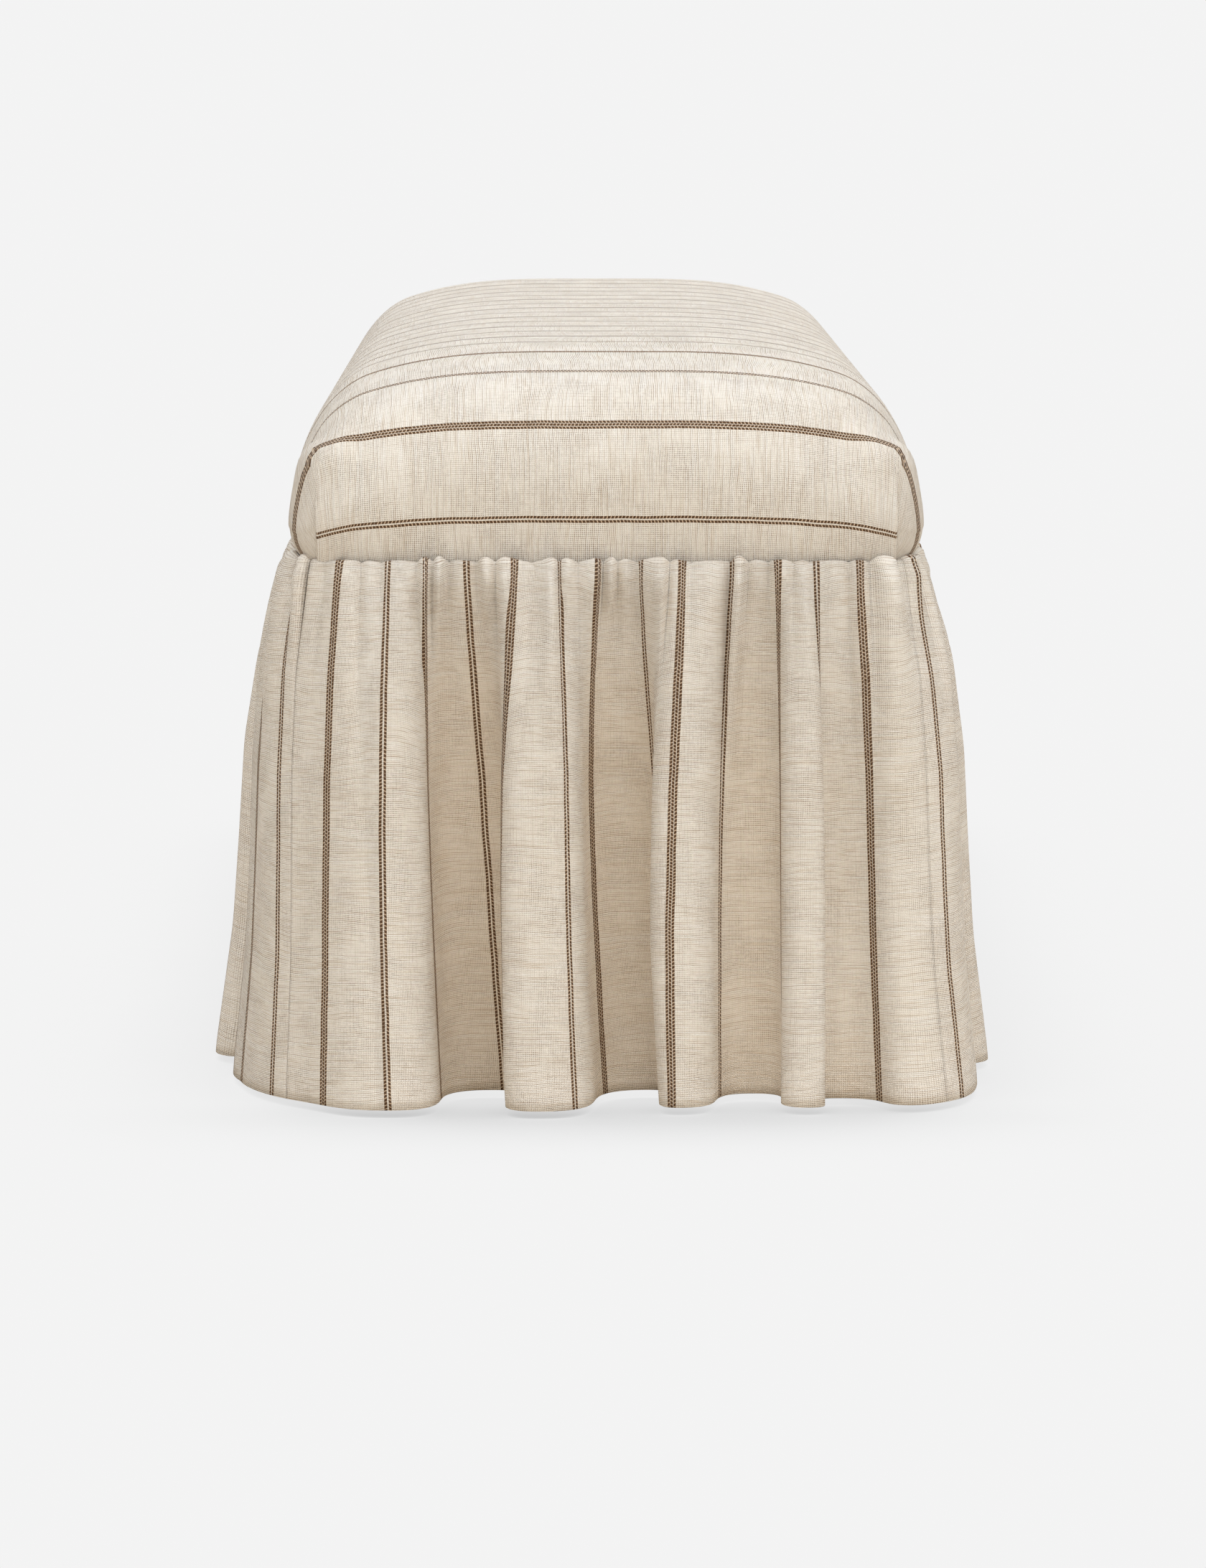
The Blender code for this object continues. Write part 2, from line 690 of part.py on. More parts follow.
def seat_skin(inset):
    """The open surface of the seat, moved in by inset along its normals."""
    lines_x = crown_lines(SEAT_WIDTH / 2, CROWN_ACROSS_REACH)
    lines_y = crown_lines(SEAT_LENGTH / 2, CROWN_ALONG_REACH)
    bm = bmesh.new()
    columns = len(lines_x) - 1
    rows = len(lines_y) - 1
    bmesh.ops.create_grid(bm, x_segments=columns, y_segments=rows, size=1.0)
    for vert in bm.verts:
        column = round((vert.co.x + 1) / 2 * columns)
        row = round((vert.co.y + 1) / 2 * rows)
        x, y = round_off(lines_x[column], lines_y[row])
        vert.co = (x, y, seat_top(x, y))
    fallen = 0.0
    drawn_in = 0.0
    for fall, draw in WALL_ROWS:
        for vert in extrude_rim(bm):
            vert.co -= outline_normal(vert.co.x, vert.co.y) * SEAM_DRAW_IN * (draw - drawn_in)
            vert.co.z = mix(vert.co.z, SEAM_HEIGHT, (fall - fallen) / (1 - fallen))
        fallen = fall
        drawn_in = draw
    for vert in extrude_rim(bm):
        vert.co.z = SEAM_HEIGHT - COVER_TUCK
    bmesh.ops.recalc_face_normals(bm, faces=bm.faces)
    if sum(face.normal.z for face in bm.faces) < 0:
        bmesh.ops.reverse_faces(bm, faces=bm.faces)
    bm.normal_update()
    moved = [(vert, vert.normal * inset) for vert in bm.verts]
    for vert, step in moved:
        vert.co -= step
    return bm


def add_seat_layer(name, inset, thickness, material):
    """A cloth or batting layer over the seat, open below."""
    bm = seat_skin(inset)
    mesh = bpy.data.meshes.new(name)
    bm.to_mesh(mesh)
    bm.free()
    mesh.materials.append(material)
    mesh.shade_smooth()
    layer = bpy.data.objects.new(name, mesh)
    BENCH.objects.link(layer)
    solidify(layer, thickness, -1.0)


def add_foam():
    """The seat's filling, cut level where it lies on the deck cloth."""
    bm = seat_skin(BATTING_INSIDE)
    bmesh.ops.bisect_plane(
        bm,
        geom=bm.verts[:] + bm.edges[:] + bm.faces[:],
        plane_co=(0.0, 0.0, FOAM_BOTTOM),
        plane_no=(0.0, 0.0, 1.0),
        clear_inner=True,
    )
    bmesh.ops.holes_fill(bm, edges=[edge for edge in bm.edges if edge.is_boundary])
    foam = add_mesh("seat_foam", bm, SEAT_FOAM)
    smooth_round(foam)


def skirt_folds():
    """Folds of half the skirt, from the front left corner round to the back right one.

    Each is its place round the seam at the gathers, the same at the hem, and its distance out at the hem.
    """
    chance = random.Random(FOLD_SEED)
    width, length = 2 * SEAM_HALF_X, 2 * SEAM_HALF_Y
    folds = [(0.0, 0.0, CORNER_OUT)]
    for gather, hem, out in FRONT_FOLDS:
        folds.append((SEAM_HALF_X * (1 + gather), SEAM_HALF_X * (1 + hem), out))
    for gather, hem, out in CORNER_FOLDS:
        folds.append((width + gather, width + hem, out))
    gather, hem, out = LAST_FOLD
    first = folds[-1]
    last = (width + length - gather, width + length - hem, out)
    steps = [chance.uniform(1 - SIDE_FOLD_JITTER, 1 + SIDE_FOLD_JITTER) for _ in range(SIDE_HALF_FOLDS)]
    for index in range(SIDE_HALF_FOLDS - 1):
        share = sum(steps[:index + 1]) / sum(steps)
        drift = chance.uniform(-FOLD_DRIFT, FOLD_DRIFT)
        out = chance.uniform(*(SIDE_CREST_OUT if index % 2 == 0 else SIDE_VALLEY_OUT))
        folds.append((mix(first[0], last[0], share), mix(first[1], last[1], share) + drift, out))
    return folds + [last, (width + length, width + length, CORNER_OUT)]


def strip_travel(angle, share):
    """How far a springy strip gets along and away, up to a share of a half fold that is steepest halfway."""
    places = [share * (step + 0.5) / FOLD_SAMPLES for step in range(FOLD_SAMPLES)]
    slopes = [angle * math.sin(math.pi * place) for place in places]
    along = share * sum(math.cos(slope) for slope in slopes) / FOLD_SAMPLES
    away = share * sum(math.sin(slope) for slope in slopes) / FOLD_SAMPLES
    return along, away


def steepest_angle(along, away):
    """The largest angle of a half fold that gets as far along and away."""
    low, high = 0.0, STEEPEST_FOLD
    for _ in range(FOLD_TRIES):
        middle = (low + high) / 2
        strip_along, strip_away = strip_travel(middle, 1.0)
        if strip_away * along < strip_along * away:
            low = middle
        else:
            high = middle
    return low


def half_fold(along, away, share):
    """Shares of a half fold's two lengths that the cloth has covered at a share of its own length."""
    angle = steepest_angle(along, away)
    whole_along, whole_away = strip_travel(angle, 1.0)
    part_along, part_away = strip_travel(angle, share)
    away_share = part_away / whole_away if whole_away > 0 else share
    return part_along / whole_along, away_share


def round_bench(place, out, radius):
    """The point at a place round the seam, counted from the front left corner on, moved out from the seam."""
    width, length = 2 * SEAM_HALF_X, 2 * SEAM_HALF_Y
    on_side = place > width
    half, across = (SEAM_HALF_Y, SEAM_HALF_X) if on_side else (SEAM_HALF_X, SEAM_HALF_Y)
    local = place - width - length / 2 if on_side else place - width / 2
    straight = half - radius
    run = local / half * (straight + radius * math.pi / 4)
    turn = max(abs(run) - straight, 0.0) / radius
    normal = Vector((math.copysign(math.sin(turn), run), -math.cos(turn), 0.0))
    centre = Vector((max(-straight, min(straight, run)), radius - across, 0.0))
    quarter = Matrix.Rotation(math.pi / 2 if on_side else 0.0, 3, "Z")
    return quarter @ (centre + normal * (radius + out))


def skirt_point(folds, number, level, shift):
    """A point of the skirt at a fold number, whose whole numbers are the folds themselves."""
    drop, crest, valley = SKIRT_LEVELS[level]
    gathered_out = 2 * GAP + BAND_THICKNESS + SKIRT_THICKNESS / 2
    index = min(int(number), len(folds) - 2)
    places, outs = [], []
    for gather, hem, out in folds[index:index + 2]:
        places.append(mix(gather, hem, drop))
        outs.append(mix(gathered_out, out, crest if out > 0 else valley))
    along, away = half_fold(places[1] - places[0], abs(outs[1] - outs[0]), number - index)
    radius = mix(GATHER_CORNER_RADIUS, HEM_CORNER_RADIUS, drop)
    point = round_bench(mix(*places, along) + shift, mix(*outs, away), radius)
    return point + Vector((0.0, 0.0, mix(SEAM_HEIGHT, HEM_HEIGHT, drop)))


def add_skirt_panel(name, folds, first, last, steps_per_fold, half_turn):
    """One skirt panel between two fold numbers, with a gap to its neighbours."""
    columns = round((last - first) * steps_per_fold)
    turn = Matrix.Rotation(math.pi if half_turn else 0.0, 3, "Z")

    def place(column, row):
        shift = {0: PANEL_GAP / 2, columns: -PANEL_GAP / 2}.get(column, 0.0)
        return turn @ skirt_point(folds, mix(first, last, column / columns), row, shift)

    panel = add_sheet(name, columns, len(SKIRT_LEVELS) - 1, place, SKIRT_THICKNESS, STRIPED_CLOTH)
    smooth_round(panel, FOLD_SMOOTH_ANGLE)


def add_skirt():
    """Front and right panels, and the same two turned half round the bench."""
    folds = skirt_folds()
    corner = len(FRONT_FOLDS)
    end = len(folds) - 1
    for front, right, half_turn in (("front", "right", False), ("back", "left", True)):
        add_skirt_panel(f"skirt_{front}", folds, 0, corner, END_STEPS_PER_FOLD, half_turn)
        add_skirt_panel(f"skirt_{right}", folds, corner, end, SIDE_STEPS_PER_FOLD, half_turn)


def add_skirt_bands():
    """Tapes on the cover just below the seam, which hold the skirt's gathered edge."""
    top = SEAM_HEIGHT - GAP
    bottom = top - BAND_HEIGHT
    reach_x = SEAT_WIDTH / 2 - SEAT_EDGE_RADIUS
    reach_y = SEAT_LENGTH / 2 - SEAT_EDGE_RADIUS
    inside_x = SEAM_HALF_X + GAP
    inside_y = SEAM_HALF_Y + GAP
    for end, sy in (("front", -1), ("back", 1)):
        add_box(
            f"skirt_band_{end}",
            (-reach_x, sy * inside_y, bottom),
            (reach_x, sy * (inside_y + BAND_THICKNESS), top),
            TACK_TAPE,
        )
    for side, sx in (("left", -1), ("right", 1)):
        add_box(
            f"skirt_band_{side}",
            (sx * inside_x, -reach_y, bottom),
            (sx * (inside_x + BAND_THICKNESS), reach_y, top),
            TACK_TAPE,
        )


def add_frame():
    for corner, (sx, sy) in CORNERS.items():
        add_leg(corner, sx, sy)
        add_glide(corner, sx, sy)
        add_corner_block(corner, sx, sy)
        add_corner_bolt(corner, sx, sy)
    for side, sx in (("left", -1), ("right", 1)):
        add_side_rail(side, sx)
    for end, sy in (("front", -1), ("back", 1)):
        add_end_rail(end, sy)
        add_box(f"cross_rail_{end}", *cross_rail_corners(sy), HARDWOOD)


def add_seat():
    add_cross_webs()
    for index in range(LONG_WEB_COUNT):
        add_long_web(index)
    add_deck_cloth()
    add_foam()
    add_seat_layer("seat_batting", COVER_INSIDE, BATTING_THICKNESS, WHITE_BATTING)
    add_seat_layer("seat_cover", 0.0, COVER_THICKNESS, STRIPED_CLOTH)
    add_dust_cover()


add_frame()
add_seat()
add_skirt_bands()
add_skirt()
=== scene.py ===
"""Looks of the skirted dining bench: striped woven cloth over its hardwood frame.

Metres, +Z up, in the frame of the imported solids. The photographed end is at -Y and is called the front.
Cloth pieces carry a UV map in metres of flat cloth: U runs across the stripes and V along them.
"""

import math
import random

import bmesh
import bpy
import numpy as np
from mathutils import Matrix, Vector


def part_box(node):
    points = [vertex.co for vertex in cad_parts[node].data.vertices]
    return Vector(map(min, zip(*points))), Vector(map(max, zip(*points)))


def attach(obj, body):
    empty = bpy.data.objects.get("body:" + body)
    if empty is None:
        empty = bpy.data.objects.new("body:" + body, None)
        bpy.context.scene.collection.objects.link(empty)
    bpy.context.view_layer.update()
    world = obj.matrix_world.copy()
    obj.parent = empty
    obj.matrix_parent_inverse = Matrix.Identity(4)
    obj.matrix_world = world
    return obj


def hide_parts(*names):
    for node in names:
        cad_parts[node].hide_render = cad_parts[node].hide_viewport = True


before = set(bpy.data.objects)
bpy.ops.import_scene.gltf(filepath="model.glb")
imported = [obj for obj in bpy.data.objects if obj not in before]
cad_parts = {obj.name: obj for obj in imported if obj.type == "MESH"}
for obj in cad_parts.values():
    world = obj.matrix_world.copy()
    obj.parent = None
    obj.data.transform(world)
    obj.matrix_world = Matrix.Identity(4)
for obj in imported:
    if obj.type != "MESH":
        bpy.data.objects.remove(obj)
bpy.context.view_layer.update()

# Striped cloth, flat: spacing of the stripes, where one wide stripe lies above the front seam, pitches of the
# yarns and of the brown threads in wide and double stripes, and where a brown thread fades out and is full
STRIPE_SPACING = 0.0621
WIDE_STRIPE_AT = 0.090
CLOTH_THICKNESS = 0.0012
WARP_PITCH = 0.0013
WEFT_PITCH = 0.00113
WIDE_YARNS = 0.0021
DOUBLE_YARNS = 0.0027
THREAD_EDGE = (0.00106, 0.00064)
# Its UV map, and what its points carry: surface length for each flat length, and depth behind the crests
CLOTH_UV = "cloth"
SPREAD = "spread"
# Depth behind the crests, which sets the painted shade in the fold valleys
FOLD_SHADE_KEY = "fold_shade_depth"
FOLD_SHADE_STRENGTH = 0.20
# Its colours
CREAM = (0.945, 0.900, 0.825)
LIGHT_CREAM = (0.965, 0.925, 0.860)
TAN_YARN = (0.74, 0.62, 0.47)
PALE_YARN = (0.99, 0.97, 0.935)
GROOVE_SHADE = (0.38, 0.235, 0.125)
SLUB_PALE = (1.0, 0.965, 0.905)
HOLE_SHADE = (0.16, 0.085, 0.040)
# Painted shade, darker and warmer, in the fold valleys
PAINTED_FOLD_SHADE = (0.90, 0.66, 0.38)
# Painted shade and warm bounce light on the cream among the brown threads
PAINTED_STRIPE_SHADE = (0.64, 0.45, 0.28)
STRIPE_BROWN = (0.062, 0.023, 0.007)

# Seat, over its cover
SEAT_HALF_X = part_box("seat_cover")[1].x
SEAT_HALF_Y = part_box("seat_cover")[1].y
SEAT_TOP = 0.478
SEAT_EDGE_RADIUS = 0.050
SEAT_CORNER_POWER = 3.0
CROWN_ACROSS = 0.039
CROWN_ACROSS_REACH = 0.180
CROWN_ALONG = 0.032
CROWN_ALONG_REACH = 0.236
CROWN_POWER = 3
SEAM_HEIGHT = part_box("skirt_front")[1].z
SEAM_DRAW_IN = 0.008
COVER_TUCK = 0.010
SEAM_HALF_X = SEAT_HALF_X - SEAM_DRAW_IN
SEAM_HALF_Y = SEAT_HALF_Y - SEAM_DRAW_IN
EDGE_LINES = 20
TOP_SPACING = 0.006
WALL_ROWS = 14

# Pleat at each corner of the cover: a flap of the end wall folded over the cloth from the side
PLEAT_FROM_SIDE = 0.0225
PLEAT_RISE = 0.060
PLEAT_OVERLAP = 0.0022
PLEAT_WIDTH = 0.038
PLEAT_LIFT = 0.0024
PLEAT_LIFT_RISE = 0.45
PLEAT_LIFT_POWER = 1.2
PLEAT_COLUMNS = 16
PLEAT_ROWS = 28
PLEAT_WALL_POINTS = 12
PLEAT_TURNS = 6
PLEAT_BLEND = 0.012
PLEAT_OPENING = 0.02
CORNER_EASE_TOP = 1.55
CORNER_EASE_SEAM = 1.45
CORNER_EASE_HEIGHTS = (0.366, 0.402)
CORNER_EASE_FROM = 0.3
MOST_DRAWN_IN = 1.8
STRIPE_DROOP = 0.22
# Wadding that fills out the rolled corners: how far, and where between the top and the rim
CORNER_FILL = 0.0065
CORNER_FILL_AT = 0.74
CORNER_FILL_SPREAD = 0.17
CORNER_FILL_FROM = (0.4, 0.25)

# Layers under the cover and under the frame
WADDING = 0.0065
LAYER_GAP = 0.0004
LAYER_WAVES = 0.0003
DUST_SAG = 0.004
SHEET_SPACING = 0.012

# Skirt: its folds are crests and valleys by turns, each with its stripe count from the front left corner, its
# place at the gathers and at the hem, and its distance out from the seam at the hem. The front's places are
# shares of half the seam, from its middle.
FRONT_FOLDS = (
    (2.0, -0.740, -0.755, 0.052),
    (3.87, -0.495, -0.400, -0.018),
    (5.55, -0.221, -0.237, 0.056),
    (7.6, 0.057, 0.154, -0.018),
    (9.1, 0.272, 0.242, 0.044),
    (10.5, 0.510, 0.515, -0.005),
    (11.6, 0.655, 0.700, 0.044),
    (12.4, 0.760, 0.790, 0.012),
    (13.8, 0.985, 1.000, 0.054),
)
# Folds of a side: two measured on from the corner before it, the last one back from the corner after it, and
# between them half folds of uneven widths
CORNER_FOLDS = (
    (14.8, 0.0240, 0.038, 0.047),
    (16.2, 0.0645, 0.085, -0.012),
)
LAST_FOLD = (2.7, 0.077, 0.080, 0.050)
CORNER_STRIPE = 0.3
CORNER_OUT = 0.036
HALF_ROUND_STRIPES = 58
SIDE_HALF_FOLDS = 25
SIDE_CREST_OUT = (0.060, 0.071)
SIDE_VALLEY_OUT = (-0.034, -0.016)
SIDE_FOLD_JITTER = 0.24
FOLD_DRIFT = 0.005
FOLD_SEED = 11
GATHER_OUT = 0.0035
GATHER_RADIUS = 0.034
HEM_RADIUS = 0.050
HEM_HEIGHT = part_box("skirt_front")[0].z
SKIRT_ROWS = 66
ROW_CROWDING = 1.25
FRONT_COLUMN = 0.0028
SIDE_COLUMN = 0.0042
FRONT_STRIPES = 15
LEAST_COLUMNS = 6
SPREAD_LIMITS = (0.3, 1.1)
# Reach and depths behind the crests over which the painted fold shade grows
FOLD_SHADE_COLUMNS = 26
FOLD_SHADE_DEPTHS = (0.010, 0.055)
# How far folds have grown at shares of the drop, as shares of their size at the hem
CREST_GROWTH = (
    (0.0, 0.03), (0.03, 0.09), (0.08, 0.22), (0.14, 0.36), (0.21, 0.50), (0.385, 0.66),
    (0.58, 0.73), (0.75, 0.80), (0.9, 0.92), (1.0, 1.0),
)
VALLEY_GROWTH = (
    (0.0, 0.0), (0.055, 0.0), (0.10, 0.24), (0.17, 0.30), (0.26, 0.6), (0.4, 0.95),
    (0.6, 1.1), (1.0, 1.0),
)
# Higher for flatter crests and valleys with steeper flanks between them
FOLD_POWER = 1.6
STEEPEST_FOLD = 2.1
# Folds of the front grow sooner, and all swing to their places at the hem late in the drop
FRONT_GROWTH_POWER = 0.62
HEM_SWING = 1.6
# Small gathers under the seam, unevenly spaced by waves round half the bench
GATHERS = 104
GATHER_WAVES = ((17, 0.22), (41, 0.2))
GATHER_START = 0.7
GATHER_DEPTH = 0.0155
GATHER_FADE = (0.06, 0.30)
GATHER_FADE_POWER = 1.6
GATHER_ROUNDNESS = 0.8
GATHER_SIZES = (0.40, 1.45)
GATHER_LEAN = 0.5
SIDE_GATHERS = 0.5
FRONT_BLEND = 1.2
# The gathered edge rolls over its sewing line: rows and length of the roll, where it starts and its rise
ROLL_ROWS = 5
ROLL_LENGTH = 0.007
ROLL_START = 0.0016
ROLL_RISE = (0.0002, 0.0056)

# Floor: the grey that is seen, the colour it throws back, its shade beside the bench and before its front,
# and where along Y one passes into the other
FLOOR_SIZE = 40.0
FLOOR_GREY = (0.898, 0.898, 0.898)
FLOOR_BOUNCE = (0.78, 0.69, 0.57)
# The shade is a painted shadow in the floor's glow
SHADOW_REACH = 0.20
SHADE_BESIDE = (0.74, 0.74, 0.74)
SHADE_BEFORE = (0.45, 0.45, 0.45)
SHADE_LINES = (-0.62, -0.70)
# Light from the sky of the studio, dark at the horizon, and the heights between which it grows
HORIZON_LIGHT = (0.0, 0.0, 0.0)
OVERHEAD_LIGHT = (0.61, 0.63, 0.65)
SKY_HEIGHTS = (0.05, 0.75)
# Lamps: name, direction of the light, spread in degrees, energy and colour
LAMPS = (
    ("above_lamp", (0.0, 0.15, -1.0), 60, 1.72, (1.0, 0.97, 0.93)),
    ("front_lamp", (0.0, 1.0, -0.25), 60, 0.70, (1.0, 0.95, 0.88)),
    ("right_lamp", (-0.7, 0.7, -0.35), 50, 0.42, (1.0, 0.98, 0.95)),
)
# The photographed view: millimetres, metres and degrees
CAMERA_LENS = 133.52
CAMERA_SENSOR = 36.0
CAMERA_PLACE = (-0.0282, -4.301, 0.6974)
CAMERA_TILT = 7.611
CAMERA_TURN = 0.404


def mix(first, second, share):
    return first + (second - first) * share


def smoothstep(value):
    value = np.clip(value, 0.0, 1.0)
    return value * value * (3 - 2 * value)


def stacked(*parts):
    """Arrays of equal shape side by side, along a new last axis."""
    return np.stack(parts, axis=-1)


def unit(vectors):
    return vectors / np.maximum(np.linalg.norm(vectors, axis=-1), 1e-9)[..., None]


def running_sum(values):
    """Trapezoid sums of values along each row, starting at zero."""
    steps = (values[:, 1:] + values[:, :-1]) / 2
    return np.concatenate([np.zeros_like(values[:, :1]), np.cumsum(steps, axis=1)], axis=1)


def eased(points, places, width=0.05):
    """A smooth curve near the broken line through points, read at places."""
    fine = np.linspace(-0.25, 1.25, 601)
    line = np.interp(fine, *np.transpose(points))
    kernel = np.hanning(int(width * 2 * 400) | 1)
    rounded = np.convolve(line, kernel / kernel.sum(), mode="same")
    share = smoothstep(np.asarray(places) / width)
    return mix(np.interp(places, *np.transpose(points)), np.interp(places, fine, rounded), share)


def grid_faces(rows, width):
    """Faces of a grid of points, row by row, seen with rows going down and each to the right."""
    corner = np.arange(rows - 1)[:, None] * width + np.arange(width - 1)
    return stacked(corner, corner + width, corner + width + 1, corner + 1).reshape(-1, 4)


def add_object(name, data):
    made = bpy.data.objects.new(name, data)
    bpy.context.scene.collection.objects.link(made)
    return made


def new_piece(name, points, faces, uv, material, spread=1.0, fold_shade_depth=0.0):
    """A smooth mesh object whose points carry a UV, the cloth's spread and its depth for the painted fold
    shade.
    """
    mesh = bpy.data.meshes.new(name)
    mesh.from_pydata(points.reshape(-1, 3).tolist(), [], faces.tolist())
    layer = mesh.uv_layers.new(name=CLOTH_UV)
    corners = np.zeros(len(mesh.loops), np.int32)
    mesh.loops.foreach_get("vertex_index", corners)
    layer.data.foreach_set("uv", np.asarray(uv, np.float32).reshape(-1, 2)[corners].ravel())
    for key, values in ((SPREAD, spread), (FOLD_SHADE_KEY, fold_shade_depth)):
        whole = np.broadcast_to(np.asarray(values, np.float32), points.shape[:-1])
        mesh.attributes.new(key, "FLOAT", "POINT").data.foreach_set("value", whole.ravel())
    mesh.materials.append(material)
    mesh.shade_smooth()
    return add_object(name, mesh)


def thicken(piece, thickness):
    """Give a sheet its thickness on its inner side."""
    solid = piece.modifiers.new("thickness", "SOLIDIFY")
    solid.thickness = thickness
    solid.offset = -1.0
    depsgraph = bpy.context.evaluated_depsgraph_get()
    done = bpy.data.meshes.new_from_object(piece.evaluated_get(depsgraph))
    piece.modifiers.clear()
    piece.data = done


# Materials


class Nodes:
    """A node tree, put together by short calls that give back sockets."""

    def __init__(self, tree):
        self.tree = tree

    def put(self, socket, value):
        if isinstance(value, bpy.types.NodeSocket):
            self.tree.links.new(value, socket)
        else:
            socket.default_value = value

    def node(self, kind, inputs=(), **settings):
        made = self.tree.nodes.new(kind)
        for key, value in settings.items():
            setattr(made, key, value)
        for key, value in dict(inputs).items():
            self.put(made.inputs[key], value)
        return made

    def math(self, operation, *values):
        made = self.node("ShaderNodeMath", operation=operation)
        for socket, value in zip(made.inputs, values):
            self.put(socket, value)
        return made.outputs[0]

    def ramp(self, value, low, high):
        """0 below low, 1 above high, smooth between; low may be the larger one."""
        made = self.node("ShaderNodeMapRange", interpolation_type="SMOOTHSTEP")
        for socket, number in zip(made.inputs, (value, low, high, 0.0, 1.0)):
            self.put(socket, number)
        return made.outputs[0]

    def times(self, first, second):
        return self.math("MULTIPLY", first, second)

    def scaled(self, value, factor, offset):
        return self.math("MULTIPLY_ADD", value, factor, offset)

    def split(self, vector):
        return self.node("ShaderNodeSeparateXYZ", {0: vector}).outputs

    def join(self, x, y, z=0.0):
        return self.node("ShaderNodeCombineXYZ", {0: x, 1: y, 2: z}).outputs[0]

    def noise(self, vector, scale, detail=2.0, roughness=0.5):
        inputs = {"Vector": vector, "Scale": scale, "Detail": detail, "Roughness": roughness}
        return self.node("ShaderNodeTexNoise", inputs).outputs[0]

    def tint(self, share, first, second):
        made = self.node("ShaderNodeMix", data_type="RGBA")
        self.put(made.inputs[0], share)
        for socket, value in ((made.inputs[6], first), (made.inputs[7], second)):
            self.put(socket, value if isinstance(value, bpy.types.NodeSocket) else (*value, 1.0))
        return made.outputs[2]


class Finish(Nodes):
    """A material with one shader."""

    def __init__(self, name, roughness, metallic=0.0):
        self.material = bpy.data.materials.new(name)
        self.material.use_nodes = True
        super().__init__(self.material.node_tree)
        self.inputs = self.tree.nodes["Principled BSDF"].inputs
        self.put(self.inputs["Roughness"], roughness)
        self.put(self.inputs["Metallic"], metallic)

    def place(self):
        return self.node("ShaderNodeTexCoord").outputs["Object"]

    def finish(self, colour, height, distance, strength):
        self.put(self.inputs["Base Color"], colour)
        inputs = {"Height": height, "Distance": distance, "Strength": strength}
        self.put(self.inputs["Normal"], self.node("ShaderNodeBump", inputs).outputs[0])
        return self.material


def yarn_noise(cloth, run, run_scale, number, step, layer):
    """Noise that changes slowly along a yarn, and from each yarn to the next."""
    place = cloth.join(cloth.times(run, run_scale), cloth.times(number, step), layer)
    return cloth.noise(place, 1.0, 1.0)


def brown_stripes(cloth, across, along):
    """Where brown threads show, and painted shade and bounce among them, in wide and double stripes by turns.
    """
    spread = cloth.node("ShaderNodeAttribute", attribute_name=SPREAD).outputs["Fac"]
    count = cloth.math("DIVIDE", cloth.math("SUBTRACT", across, WIDE_STRIPE_AT), STRIPE_SPACING)
    nearest = cloth.math("ROUND", count)
    wide = cloth.math("SUBTRACT", 1.0, cloth.math("FLOORED_MODULO", nearest, 2.0))
    aside = cloth.times(cloth.math("SUBTRACT", count, nearest), STRIPE_SPACING)
    aside = cloth.times(aside, spread)
    pitch = cloth.scaled(wide, WIDE_YARNS - DOUBLE_YARNS, DOUBLE_YARNS)
    shift = cloth.scaled(wide, -0.5, 0.5)
    line = cloth.math("ROUND", cloth.math("SUBTRACT", cloth.math("DIVIDE", aside, pitch), shift))
    middle = cloth.math("ADD", line, shift)
    off_line = cloth.math("SUBTRACT", aside, cloth.times(middle, pitch))
    last = cloth.scaled(wide, 0.5, 1.0)
    inside = cloth.math("LESS_THAN", cloth.math("ABSOLUTE", middle), last)
    slant = cloth.scaled(cloth.math("FLOORED_MODULO", line, 2.0), 0.8, -0.4)
    pick = cloth.math("DIVIDE", cloth.scaled(off_line, slant, along), WEFT_PITCH)
    pick_round = cloth.times(cloth.math("PINGPONG", pick, 0.5), 2.0)
    pick_number = cloth.math("FLOOR", pick)
    chance = cloth.node(
        "ShaderNodeTexWhiteNoise", {"Vector": cloth.join(line, pick_number, nearest)}, noise_dimensions="3D"
    ).outputs["Value"]
    turn = cloth.math("FLOORED_MODULO", cloth.math("ADD", pick_number, line), 2.0)
    over = cloth.times(cloth.ramp(pick_round, 0.05, 0.7), cloth.ramp(chance, -0.2, 0.25))
    over = cloth.times(over, cloth.scaled(turn, 0.82, 0.10))
    thread = cloth.times(cloth.ramp(cloth.math("ABSOLUTE", off_line), *THREAD_EDGE), inside)
    brown = cloth.times(thread, cloth.math("SUBTRACT", 0.97, over))
    # The second is painted shade and warm bounce on the cream among the brown threads
    return brown, cloth.times(thread, 0.8)


